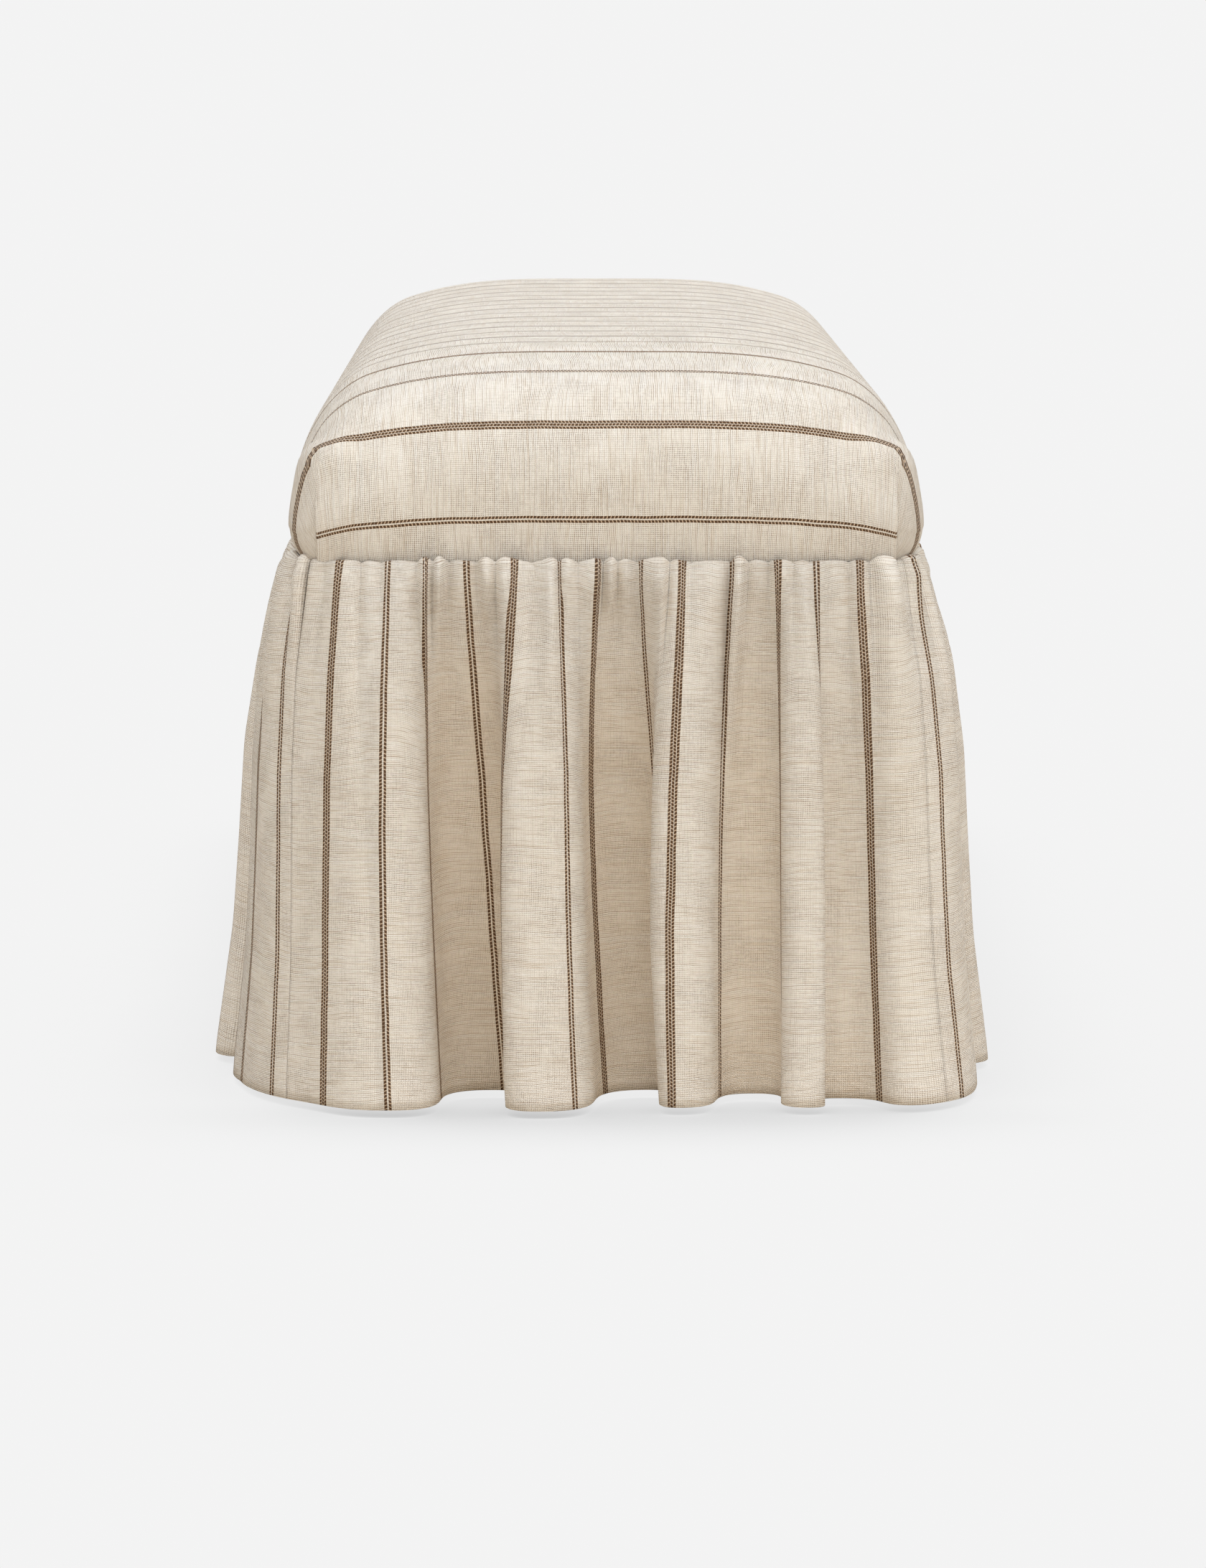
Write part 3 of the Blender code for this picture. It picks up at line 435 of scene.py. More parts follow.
def striped_cloth():
    """Cream open weave with slubs across the stripes, and wide and double brown stripes by turns."""
    cloth = Finish("striped_cloth", 0.95)
    cloth.inputs["Specular IOR Level"].default_value = 0.1
    flat = cloth.node("ShaderNodeUVMap", uv_map=CLOTH_UV).outputs[0]
    flat_across, flat_along, _ = cloth.split(flat)
    wander = cloth.scaled(cloth.noise(flat, 32.0), 0.0016, -0.0008)
    across = cloth.math("ADD", flat_across, wander)
    sway = cloth.scaled(cloth.noise(flat, 14.0, 1.0), 0.009, -0.0045)
    along = cloth.math("ADD", cloth.math("SUBTRACT", flat_along, wander), sway)
    warp = cloth.math("DIVIDE", across, WARP_PITCH)
    weft = cloth.math("DIVIDE", along, WEFT_PITCH)
    warp_round = cloth.times(cloth.math("PINGPONG", warp, 0.5), 2.0)
    weft_round = cloth.times(cloth.math("PINGPONG", weft, 0.5), 2.0)
    warp_number = cloth.math("FLOOR", warp)
    weft_number = cloth.math("FLOOR", weft)

    # Uneven yarns, dark grooves beside them with painted slub shadows, pale slubs, and holes where grooves
    # cross
    weft_line = cloth.math("ROUND", weft)
    weft_tone = yarn_noise(cloth, across, 34.0, weft_number, 7.31, 0.0)
    weft_groove = yarn_noise(cloth, across, 40.0, weft_line, 6.17, 2.0)
    warp_groove = yarn_noise(cloth, along, 30.0, cloth.math("ROUND", warp), 5.17, 4.0)
    slub = cloth.ramp(yarn_noise(cloth, across, 11.0, weft_number, 6.43, 9.0), 0.56, 0.64)
    painted_slub_shadow = cloth.ramp(yarn_noise(cloth, across, 11.0, weft_line, 6.43, 9.0), 0.56, 0.64)
    crossing = cloth.node(
        "ShaderNodeTexWhiteNoise", {"Vector": cloth.join(warp_number, weft_number)}, noise_dimensions="2D"
    ).outputs["Value"]
    patches = cloth.ramp(cloth.noise(flat, 34.0, 3.0), 0.36, 0.62)
    warp_edge = cloth.ramp(warp_round, 0.75, 0.15)
    weft_edge = cloth.ramp(weft_round, 0.75, 0.15)
    weft_dark = cloth.scaled(cloth.ramp(weft_groove, 0.44, 0.68), 0.42, 0.10)
    # Painted shadow of a slub: the groove on one side of it is darkened
    weft_dark = cloth.math("MAXIMUM", weft_dark, cloth.times(painted_slub_shadow, 0.72))
    warp_dark = cloth.scaled(cloth.ramp(warp_groove, 0.46, 0.70), 0.20, 0.05)
    groove = cloth.times(weft_edge, weft_dark)
    groove = cloth.math("MAXIMUM", groove, cloth.times(warp_edge, warp_dark))
    holes = cloth.times(cloth.times(warp_edge, weft_edge), cloth.math("SQRT", crossing))
    holes = cloth.times(holes, cloth.scaled(patches, 0.75, 0.35))

    # Colours, from the ground up
    tone = cloth.ramp(cloth.noise(flat, 9.0, 2.0), 0.3, 0.7)
    tan_yarn = cloth.times(cloth.ramp(weft_tone, 0.56, 0.72), 0.22)
    pale_yarn = cloth.times(cloth.ramp(weft_tone, 0.48, 0.3), 0.6)
    fold_shade_depth = cloth.node("ShaderNodeAttribute", attribute_name=FOLD_SHADE_KEY).outputs["Fac"]
    brown, painted_stripe_shade = brown_stripes(cloth, across, along)
    colour = cloth.tint(tone, CREAM, LIGHT_CREAM)
    for share, shade in (
        (tan_yarn, TAN_YARN),
        (pale_yarn, PALE_YARN),
        (groove, GROOVE_SHADE),
        (cloth.times(slub, 0.85), SLUB_PALE),
        (holes, HOLE_SHADE),
        # Painted shade in the fold valleys
        (cloth.times(fold_shade_depth, FOLD_SHADE_STRENGTH), PAINTED_FOLD_SHADE),
        # Painted shade and warm bounce among the brown threads
        (painted_stripe_shade, PAINTED_STRIPE_SHADE),
        (brown, STRIPE_BROWN),
    ):
        colour = cloth.tint(share, colour, shade)

    height = cloth.times(cloth.math("SQRT", warp_round), cloth.math("SQRT", weft_round))
    height = cloth.scaled(cloth.times(slub, weft_round), 0.5, height)
    return cloth.finish(colour, height, 0.0004, 0.9)


def hardwood(name, stretch):
    """Beech-like wood whose grain runs along the axis that is stretched least."""
    wood = Finish(name, 0.55)
    place = wood.node("ShaderNodeMapping", {"Vector": wood.place(), "Scale": stretch}).outputs[0]
    rings = wood.node(
        "ShaderNodeTexWave",
        {"Vector": place, "Scale": 1.0, "Distortion": 6.0, "Detail": 3.0, "Detail Scale": 1.4},
    ).outputs["Fac"]
    pores = wood.noise(place, 9.0, 4.0, 0.65)
    colour = wood.tint(rings, (0.47, 0.31, 0.175), (0.60, 0.43, 0.265))
    colour = wood.tint(wood.ramp(pores, 0.52, 0.36), colour, (0.36, 0.225, 0.12))
    wood.put(wood.inputs["Roughness"], wood.scaled(pores, 0.2, 0.45))
    return wood.finish(colour, pores, 0.0004, 0.5)


def zinc_steel():
    """Zinc plate with faint spangle and rubbed streaks."""
    steel = Finish("zinc_steel", 0.35, 1.0)
    place = steel.place()
    spangle = steel.node("ShaderNodeTexVoronoi", {"Vector": place, "Scale": 420.0}).outputs["Distance"]
    rub = steel.noise(place, 900.0, 3.0)
    colour = steel.tint(spangle, (0.55, 0.55, 0.54), (0.70, 0.70, 0.68))
    steel.put(steel.inputs["Roughness"], steel.scaled(rub, 0.3, 0.22))
    return steel.finish(colour, rub, 0.00005, 0.4)


def glide_nylon():
    """Off-white moulded nylon, scuffed and a little dirty where it meets the floor."""
    nylon = Finish("glide_nylon", 0.45)
    place = nylon.place()
    height = nylon.split(place)[2]
    scuff = nylon.noise(place, 520.0, 4.0, 0.7)
    worn = nylon.times(nylon.ramp(height, 0.003, 0.0), nylon.ramp(scuff, 0.42, 0.66))
    colour = nylon.tint(worn, (0.80, 0.78, 0.72), (0.46, 0.43, 0.38))
    nylon.put(nylon.inputs["Roughness"], nylon.scaled(scuff, 0.3, 0.3))
    return nylon.finish(colour, scuff, 0.0001, 0.3)


def plain_weave(name, pitch, dark, light):
    """A plain weave in level cloth, on object coordinates."""
    weave = Finish(name, 0.95)
    place = weave.place()
    x, y, _ = weave.split(place)
    wander = weave.scaled(weave.noise(place, 60.0), pitch, -pitch / 2)
    across = weave.math("DIVIDE", weave.math("ADD", x, wander), pitch)
    along = weave.math("DIVIDE", weave.math("ADD", y, wander), pitch)
    square = weave.math("ADD", weave.math("FLOOR", across), weave.math("FLOOR", along))
    over = weave.math("FLOORED_MODULO", square, 2.0)
    across_round = weave.math("PINGPONG", across, 0.5)
    along_round = weave.math("PINGPONG", along, 0.5)
    first = weave.times(over, across_round)
    second = weave.times(weave.math("SUBTRACT", 1.0, over), along_round)
    height = weave.times(weave.math("MAXIMUM", first, second), 2.0)
    yarn = weave.noise(weave.join(weave.math("FLOOR", across), weave.times(along, 0.05)), 3.0)
    # Painted light and shade: yarn crowns lighter and hollows darker, each yarn's tone varied too
    lit = weave.times(height, weave.scaled(yarn, 0.6, 0.5))
    return weave.finish(weave.tint(lit, dark, light), height, pitch / 3, 0.7)


def seat_foam():
    """Open-cell foam."""
    foam = Finish("seat_foam", 0.9)
    place = foam.place()
    cells = foam.node("ShaderNodeTexVoronoi", {"Vector": place, "Scale": 700.0}).outputs["Distance"]
    tone = foam.noise(place, 12.0, 3.0)
    colour = foam.tint(tone, (0.80, 0.74, 0.54), (0.88, 0.83, 0.66))
    colour = foam.tint(foam.ramp(cells, 0.25, 0.0), colour, (0.62, 0.55, 0.36))
    return foam.finish(colour, cells, 0.0006, 0.6)


def white_batting():
    """Fluffy polyester wadding."""
    batting = Finish("white_batting", 0.95)
    batting.inputs["Sheen Weight"].default_value = 0.3
    tufts = batting.noise(batting.place(), 130.0, 6.0, 0.75)
    colour = batting.tint(tufts, (0.78, 0.78, 0.77), (0.92, 0.92, 0.90))
    return batting.finish(colour, tufts, 0.003, 0.8)


def pale_floor():
    """Pale floor, seen as an even studio grey glow with a painted soft shadow close to the bench."""
    floor = Finish("pale_floor", 0.95)
    floor.inputs["Specular IOR Level"].default_value = 0.0
    floor.put(floor.inputs["Base Color"], (*FLOOR_BOUNCE, 1.0))
    rays = floor.node("ShaderNodeLightPath").outputs
    seen = floor.math("MAXIMUM", rays["Is Camera Ray"], rays["Is Glossy Ray"])
    seen = floor.math("MAXIMUM", seen, rays["Is Transmission Ray"])
    shade = floor.node("ShaderNodeAmbientOcclusion", {"Distance": SHADOW_REACH}, samples=16).outputs["AO"]
    glow = floor.node("ShaderNodeEmission")
    # Painted shadow: the glow darkened by occlusion near the bench, more before its front
    before = floor.ramp(floor.split(floor.place())[1], *SHADE_LINES)
    dark = floor.tint(before, SHADE_BESIDE, SHADE_BEFORE)
    floor.put(glow.inputs["Color"], floor.tint(floor.ramp(shade, 0.0, 1.0), dark, FLOOR_GREY))
    nodes = floor.tree.nodes
    lit = nodes["Principled BSDF"].outputs[0]
    both = floor.node("ShaderNodeMixShader", {0: seen, 1: lit, 2: glow.outputs[0]})
    floor.put(nodes["Material Output"].inputs["Surface"], both.outputs[0])
    return floor.material


# Seat cover


def edge_parts(x, y):
    """How far points lie in the edge strips along the sides and ends, from 0 inside to 1 at the edge."""
    across = np.clip(1 - (SEAT_HALF_X - np.abs(x)) / SEAT_EDGE_RADIUS, 0.0, None)
    along = np.clip(1 - (SEAT_HALF_Y - np.abs(y)) / SEAT_EDGE_RADIUS, 0.0, None)
    return across, along


def corner_norm(across, along):
    """How far points lie out in a round corner, from 0 inside to 1 at the edge."""
    power = SEAT_CORNER_POWER
    return (across ** power + along ** power) ** (1 / power)


def outline_normal(x, y):
    """Level direction out of the seat's outline, at points on it or inside it."""
    across, along = edge_parts(x, y)
    power = SEAT_CORNER_POWER - 1
    return unit(stacked(np.sign(x) * across ** power, np.sign(y) * along ** power))


def seat_top(x, y):
    """Height of the crowned seat, which falls away to every edge and rolls over it."""
    from_side = SEAT_HALF_X - np.abs(x)
    from_end = SEAT_HALF_Y - np.abs(y)
    height = SEAT_TOP - CROWN_ACROSS * np.clip(1 - from_side / CROWN_ACROSS_REACH, 0.0, None) ** CROWN_POWER
    height = height - CROWN_ALONG * np.clip(1 - from_end / CROWN_ALONG_REACH, 0.0, None) ** CROWN_POWER
    over = np.minimum(corner_norm(*edge_parts(x, y)), 1.0)
    return height - SEAT_EDGE_RADIUS * (1 - np.sqrt(1 - over ** 2))


def seat_lines(half, coarse):
    """Places of grid lines from one edge to the other, close together at the round edges."""
    angles = np.linspace(0.0, math.pi / 2, EDGE_LINES // coarse)
    from_edge = SEAT_EDGE_RADIUS * (1 - np.cos(angles))
    inner = np.linspace(SEAT_EDGE_RADIUS, half, int((half - SEAT_EDGE_RADIUS) / TOP_SPACING / coarse))[1:]
    low = np.concatenate([from_edge, inner]) - half
    return np.concatenate([low, -low[-2::-1]])


def seat_net(coarse=1):
    """The seat's open surface as points and faces: the top, then rows of wall down to the seam and below."""
    lines_x, lines_y = seat_lines(SEAT_HALF_X, coarse), seat_lines(SEAT_HALF_Y, coarse)
    x, y = np.meshgrid(lines_x, lines_y[::-1])
    across, along = edge_parts(x, y)
    norm = np.maximum(corner_norm(across, along), 1e-9)
    shrink = np.where((across > 0) & (along > 0), 1 - np.maximum(across, along) / norm, 0.0)
    x = x - np.sign(x) * across * shrink * SEAT_EDGE_RADIUS
    y = y - np.sign(y) * along * shrink * SEAT_EDGE_RADIUS
    top = stacked(x, y, seat_top(x, y))
    number = np.arange(x.size).reshape(x.shape)
    rim = np.concatenate([number[0, :-1], number[:-1, -1], number[-1, :0:-1], number[:0:-1, 0]])
    points = [top.reshape(-1, 3)]
    over = [points[0][:, :2]]
    faces = [grid_faces(*x.shape)]
    edge = points[0][rim]
    outward = outline_normal(*edge[:, :2].T)
    above = rim
    for row in range(1, WALL_ROWS + 2):
        fall = min(row / WALL_ROWS, 1.0)
        ring = edge.copy()
        ring[:, :2] -= outward * SEAM_DRAW_IN * fall ** 2
        ring[:, 2] = mix(edge[:, 2], SEAM_HEIGHT, fall)
        if row > WALL_ROWS:
            ring[:, 2] -= COVER_TUCK
        below = np.arange(len(rim)) + sum(len(block) for block in points)
        faces.append(stacked(above, np.roll(above, -1), np.roll(below, -1), below))
        points.append(ring)
        over.append(edge[:, :2])
        above = below
    points, over = np.concatenate(points), np.concatenate(over)
    return points + corner_fill(over, points[:, 2]), over, np.concatenate(faces)


def corner_fill(over, height):
    """How far the wadding fills out the rolled corners, for points at or below places on the seat."""
    across, along = edge_parts(*over.T)
    norm = corner_norm(across, along)
    full = CORNER_FILL * np.exp(-((norm - CORNER_FILL_AT) / CORNER_FILL_SPREAD) ** 2)
    full = full * smoothstep(along / CORNER_FILL_FROM[1]) * smoothstep(across / CORNER_FILL_FROM[0])
    full = np.where(height < seat_top(*over.T) - 1e-6, 0.0, full)
    steep = np.minimum(norm, 1.0)
    level = outline_normal(*over.T) * steep[..., None]
    return np.concatenate([level, np.sqrt(1 - steep ** 2)[..., None]], axis=-1) * full[..., None]


def path_length(x, y):
    """Length over the seat of the last axis of a set of points."""
    z = seat_top(x, y)
    steps = np.diff(x) ** 2 + np.diff(y) ** 2 + np.diff(z) ** 2
    return np.sqrt(steps).sum(axis=-1)


def rim_behind(x):
    """Distance of the seat's outline behind its end face, at places across the end."""
    across, _ = edge_parts(x, 0.0)
    along = np.clip(1 - across ** SEAT_CORNER_POWER, 0.0, None) ** (1 / SEAT_CORNER_POWER)
    return SEAT_EDGE_RADIUS * (1 - along)


PATH_SAMPLES = np.sin(np.linspace(0.0, math.pi / 2, 64))
REACH_Y = SEAT_HALF_Y - CROWN_ALONG_REACH


def column_length(x, y):
    """Length down the end of the seat, at constant X, from where the crown begins to fall."""
    x = np.asarray(x)[..., None]
    y = mix(REACH_Y, np.asarray(y)[..., None], PATH_SAMPLES)
    return path_length(x + 0 * y, y)


def row_length(x, y):
    """Length over the seat from its middle line, at constant Y."""
    y = np.asarray(y)[..., None]
    x = np.asarray(x)[..., None] * PATH_SAMPLES
    return path_length(x, y + 0 * x)


def end_lengths():
    """Flat length from the seam at the middle of an end up to where the crown begins to fall."""
    return column_length(0.0, SEAT_HALF_Y) + seat_top(0.0, SEAT_HALF_Y) - SEAM_HEIGHT


def end_flat(over, drop):
    """Flat cloth coordinates where the cloth hangs straight down the end wall, for the front half."""
    side, y = np.abs(over.T)
    rim_y = SEAT_HALF_Y - rim_behind(side)
    reference = end_lengths()
    whole = column_length(side, rim_y) + seat_top(side, rim_y) - SEAM_HEIGHT
    lost = STRIPE_DROOP * (reference - whole)
    length = column_length(side, y) + drop
    across = np.where(y > REACH_Y, reference - length * (reference - lost) / whole, reference + REACH_Y - y)
    return stacked(across, row_length(side, 0.0 * side))


def corner_arc(side, y):
    """Length round a corner of the seat's outline from the long side on, for points on it or inside."""
    across, along = edge_parts(side, y)
    norm = np.maximum(corner_norm(across, along), 1e-9)
    turn = np.linspace(0.0, math.pi / 2, 181)
    outline = np.stack([np.cos(turn), np.sin(turn)]).clip(0.0) ** (2 / SEAT_CORNER_POWER)
    length = np.concatenate([[0.0], np.cumsum(np.hypot(*np.diff(outline)))])
    share = np.arcsin(np.sqrt(np.clip(along / norm, 0.0, 1.0) ** SEAT_CORNER_POWER))
    return SEAT_EDGE_RADIUS * norm * np.interp(share, turn, length) * smoothstep(across / CORNER_EASE_FROM)


def side_flat(over, drop):
    """Flat cloth coordinates where the cloth runs down the sides, eased round the corners."""
    side, y = np.abs(over.T)
    straight = np.minimum(y, SEAT_HALF_Y - SEAT_EDGE_RADIUS)
    arc = corner_arc(side, y)
    reference = end_lengths()
    down_end = reference - column_length(0.0 * side, straight)
    middle = np.where(straight > REACH_Y, down_end, reference + REACH_Y - y)
    low, high = CORNER_EASE_HEIGHTS
    ease = mix(CORNER_EASE_SEAM, CORNER_EASE_TOP, smoothstep((seat_top(side, y) - drop - low) / (high - low)))
    return stacked(middle - ease * arc, row_length(side, y) + drop)


def cover_flat(over, drop):
    """Flat cloth coordinates for points that hang a drop below places on the seat.

    Stripes cross the top and run down both sides; the end walls hang between the pleats.
    """
    side, y = np.abs(over.T)
    above_apex = seat_top(side, y) - drop - SEAM_HEIGHT - PLEAT_RISE
    open_width = PLEAT_BLEND * np.clip(above_apex / PLEAT_OPENING + 0.5, 0.02, 1.0)
    share = smoothstep((side - (SEAT_HALF_X - PLEAT_FROM_SIDE)) / open_width)
    flat = mix(end_flat(over, drop), side_flat(over, drop), share[..., None])
    across = np.where(over[..., 1] > 0, 2 * (end_lengths() + REACH_Y) - flat[..., 0], flat[..., 0])
    return stacked(across, np.where(over[..., 0] < 0, -1, 1) * flat[..., 1])


def end_column(x):
    """Evenly spaced points up the end of the seat from the seam, at constant X, with flat coordinates."""
    rim_y = SEAT_HALF_Y - float(rim_behind(x))
    rim_z = float(seat_top(x, rim_y))
    onward = mix(rim_y, REACH_Y, 1 - PATH_SAMPLES[::-1])
    over_y = np.concatenate([np.full(PLEAT_WALL_POINTS, rim_y), onward[1:]])
    over = stacked(np.full_like(over_y, x), -over_y)
    fall = np.clip(1 - np.arange(len(over_y)) / (PLEAT_WALL_POINTS - 1), 0.0, None)
    drop = fall * (rim_z - SEAM_HEIGHT)
    z = seat_top(*over.T) - drop
    line = stacked(over[:, 0], -(over_y - SEAM_DRAW_IN * fall ** 2), z) + corner_fill(over, z)
    gone = np.concatenate([[0.0], np.cumsum(np.linalg.norm(np.diff(line, axis=0), axis=1))])
    rise = np.linspace(0.0, PLEAT_RISE, PLEAT_ROWS)
    both = np.concatenate([line, end_flat(over, drop)], axis=1)
    return stacked(*[np.interp(rise, gone, values) for values in both.T])


def pleat_flap():
    """The folded flap at the front right corner of the cover, as points, faces and flat coordinates."""
    edge = SEAT_HALF_X - PLEAT_FROM_SIDE + PLEAT_OVERLAP
    inward = np.linspace(PLEAT_WIDTH, 0.0, PLEAT_COLUMNS)
    net = np.stack([end_column(edge - distance) for distance in inward], axis=1)[::-1]
    net, flat = net[..., :3], net[..., 3:]
    down, right = np.gradient(net, axis=0), np.gradient(net, axis=1)
    out = unit(np.cross(down, right))
    rise = np.linspace(1.0, 0.0, PLEAT_ROWS)[:, None]
    lift = PLEAT_LIFT * smoothstep((1 - rise) / PLEAT_LIFT_RISE)
    lift = lift * (1 - inward / PLEAT_WIDTH) ** PLEAT_LIFT_POWER
    raised = net + out * lift[..., None]
    angle = np.linspace(0.0, math.pi, PLEAT_TURNS)[1:]
    step = unit(right[:, -1:])
    radius = lift[:, -1:, None] / 2
    bow = out[:, -1:] * (1 + np.cos(angle)[:, None]) + step * np.sin(angle)[:, None]
    turn = net[:, -1:] + radius * bow
    turn_flat = flat[:, -1:] + np.array([0.0, 1.0]) * (radius * angle[:, None])
    points = np.concatenate([raised, turn], axis=1)
    flat = np.concatenate([flat, turn_flat], axis=1)
    return points, grid_faces(*points.shape[:2]), flat


def stripe_width(points, faces, flat):
    """Surface length for each flat length across the stripes, where the cloth is drawn in."""
    drawn_in = np.ones(len(points))
    for corner in range(4):
        first, second = faces[:, corner - 1], faces[:, corner]
        length = np.linalg.norm(points[first] - points[second], axis=1)
        rate = np.abs(flat[first, 0] - flat[second, 0]) / np.maximum(length, 1e-6)
        np.maximum.at(drawn_in, first, rate)
        np.maximum.at(drawn_in, second, rate)
    return 1 / np.clip(drawn_in, 1.0, MOST_DRAWN_IN)


def make_pleats(cloth):
    """The front right flap, mirrored to all four corners."""
    flap, faces, flat = pleat_flap()
    whole = 2 * cover_flat(np.zeros((1, 2)), np.zeros(1))[0, 0]
    pleats = []
    for sx in (-1, 1):
        for sy in (-1, 1):
            moved = flap * (sx, -sy, 1)
            there = flat * (1, sx)
            if sy > 0:
                there = there * (-1, 1) + (whole, 0)
            turned = faces if sx * sy < 0 else faces[:, ::-1]
            pleats.append(new_piece(f"pleat_{sx}_{sy}", moved, turned, there, cloth))
    return pleats


def make_cover(cloth):
    """The seat's cover: one cloth over the top and down the walls, with a pleat at each corner."""
    points, over, faces = seat_net()
    drop = np.clip(seat_top(*over.T) - points[:, 2], 0.0, None)
    flat = cover_flat(over, drop)
    cover = new_piece("striped_seat_cover", points, faces, flat, cloth, stripe_width(points, faces, flat))
    thicken(cover, CLOTH_THICKNESS)
    pieces = [cover, *make_pleats(cloth)]
    with bpy.context.temp_override(active_object=cover, selected_editable_objects=pieces):
        bpy.ops.object.join()
    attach(cover, "root")
    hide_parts("seat_cover")


# Layers under the cover


def seat_layer(name, inset, material):
    """A coarser, slightly uneven copy of the seat's surface, moved in along its normals."""
    points, over, faces = seat_net(coarse=2)
    layer = new_piece(name, points, faces, over, material)
    normals = np.zeros(len(points) * 3, np.float32)
    layer.data.vertex_normals.foreach_get("vector", normals)
    waves = np.sin(points[:, 0] * 83 + points[:, 1] * 31) * np.sin(points[:, 1] * 67 - points[:, 0] * 43)
    points = points - normals.reshape(-1, 3) * (inset + LAYER_WAVES * (1 + waves))[:, None]
    layer.data.vertices.foreach_set("co", points.astype(np.float32).ravel())
    layer.data.update()
    return layer


def make_filling(batting, foam):
    """The wadding wrap under the cover, and the foam block in it, cut level above the deck cloth."""
    wrap = seat_layer("wadding_wrap", CLOTH_THICKNESS + LAYER_GAP, batting)
    thicken(wrap, WADDING)
    block = seat_layer("foam_block", CLOTH_THICKNESS + WADDING + 2 * LAYER_GAP + 2 * LAYER_WAVES, foam)
    net = bmesh.new()
    net.from_mesh(block.data)
    level = (0.0, 0.0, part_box("seat_foam")[0].z)
    whole = net.verts[:] + net.edges[:] + net.faces[:]
    bmesh.ops.bisect_plane(net, geom=whole, plane_co=level, plane_no=(0.0, 0.0, 1.0), clear_inner=True)
    bmesh.ops.holes_fill(net, edges=[edge for edge in net.edges if edge.is_boundary])
    net.to_mesh(block.data)
    net.free()
    block.data.set_sharp_from_angle(angle=math.radians(50))
    for piece, node, slot, fill in (
        (wrap, "seat_batting", "white_batting", 0.8),
        (block, "seat_foam", "seat_foam", 1.0),
    ):
        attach(piece, "root")
        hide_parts(node)


def level_cloth(name, node, material, notch, sag):
    """A stretched sheet in place of a level solid, notched at its corners and sagging between its edges."""
    low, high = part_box(node)
    edge_x, edge_y = high.x, high.y
    lines = []
    for edge, cut in zip((edge_x, edge_y), notch):
        inner = np.linspace(0.0, cut, int(cut / SHEET_SPACING))
        half = np.unique(np.concatenate([inner, np.linspace(cut, edge, 4)]))
        lines.append(np.concatenate([-half[:0:-1], half]))
    x, y = np.meshgrid(lines[0], lines[1][::-1])
    bulge = (1 - (x / edge_x) ** 4) * (1 - (y / edge_y) ** 8)
    pulls = 1 + 0.25 * np.sin(x * 61) * np.sin(y * 37)
    points = stacked(x, y, high.z - sag * bulge * pulls).reshape(-1, 3)
    faces = grid_faces(*x.shape)
    middles = np.abs(points[faces].mean(axis=1))
    faces = faces[(middles[:, 0] < notch[0]) | (middles[:, 1] < notch[1])]
    used, faces = np.unique(faces, return_inverse=True)
    points = points[used]
    sheet = new_piece(name, points, faces.reshape(-1, 4), points[:, :2], material)
    thicken(sheet, high.z - low.z)
    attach(sheet, "root")
    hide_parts(node)
    return sheet


def make_level_cloths(hessian, dust_cloth):
    """The deck cloth over the webbing and the dust cover under the rails."""
    names = list(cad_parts)
    _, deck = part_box("deck_cloth")
    level_cloth("hessian_deck", "deck_cloth", hessian, (deck.x, deck.y), 0.0)
    legs = [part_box(name) for name in names if name.startswith("leg_")]
    notch = [min(min(abs(low[axis]), abs(high[axis])) for low, high in legs) - LAYER_GAP for axis in (0, 1)]
    level_cloth("dust_cover_cloth", "dust_cover", dust_cloth, notch, DUST_SAG)


# Skirt


def fold_list():
    """All folds from the front left corner to the back right one, and how far each drifts at half height."""
    rng = random.Random(FOLD_SEED)
    width, length = 2 * SEAM_HALF_X, 2 * SEAM_HALF_Y
    folds = [(CORNER_STRIPE, 0.0, 0.0, CORNER_OUT)]
    for stripe, gather, hem, out in FRONT_FOLDS:
        folds.append((stripe, SEAM_HALF_X * (1 + gather), SEAM_HALF_X * (1 + hem), out))
    folds += [(stripe, width + gather, width + hem, out) for stripe, gather, hem, out in CORNER_FOLDS]
    end_stripe = CORNER_STRIPE + HALF_ROUND_STRIPES
    stripes, gather, hem, out = LAST_FOLD
    last = (end_stripe - stripes, width + length - gather, width + length - hem, out)
    steps = [rng.uniform(1 - SIDE_FOLD_JITTER, 1 + SIDE_FOLD_JITTER) for _ in range(SIDE_HALF_FOLDS)]
    shares = np.cumsum(steps)[:-1] / sum(steps)
    first = folds[-1]
    for index, share in enumerate(shares):
        low, high = SIDE_CREST_OUT if index % 2 == 0 else SIDE_VALLEY_OUT
        place = [mix(first[part], last[part], share) for part in range(3)]
        place[2] += rng.uniform(-FOLD_DRIFT, FOLD_DRIFT)
        folds.append((*place, rng.uniform(low, high)))
    folds += [last, (end_stripe, width + length, width + length, CORNER_OUT)]
    return np.transpose(folds), np.array([rng.uniform(-FOLD_DRIFT, FOLD_DRIFT) for _ in folds])


def fold_bend(share):
    """Angle of a fold's flank at shares of the way from crest to valley, as a share of its largest angle."""
    return np.sin(math.pi * share) ** FOLD_POWER


def fold_angles():
    """Steepness of a fold against its largest angle."""
    angles = np.linspace(0.0, STEEPEST_FOLD, 80)
    turn = fold_bend(np.linspace(0.0, 1.0, 181))
    steepness = np.sin(np.outer(angles, turn)).mean(axis=1) / np.cos(np.outer(angles, turn)).mean(axis=1)
    return steepness, angles


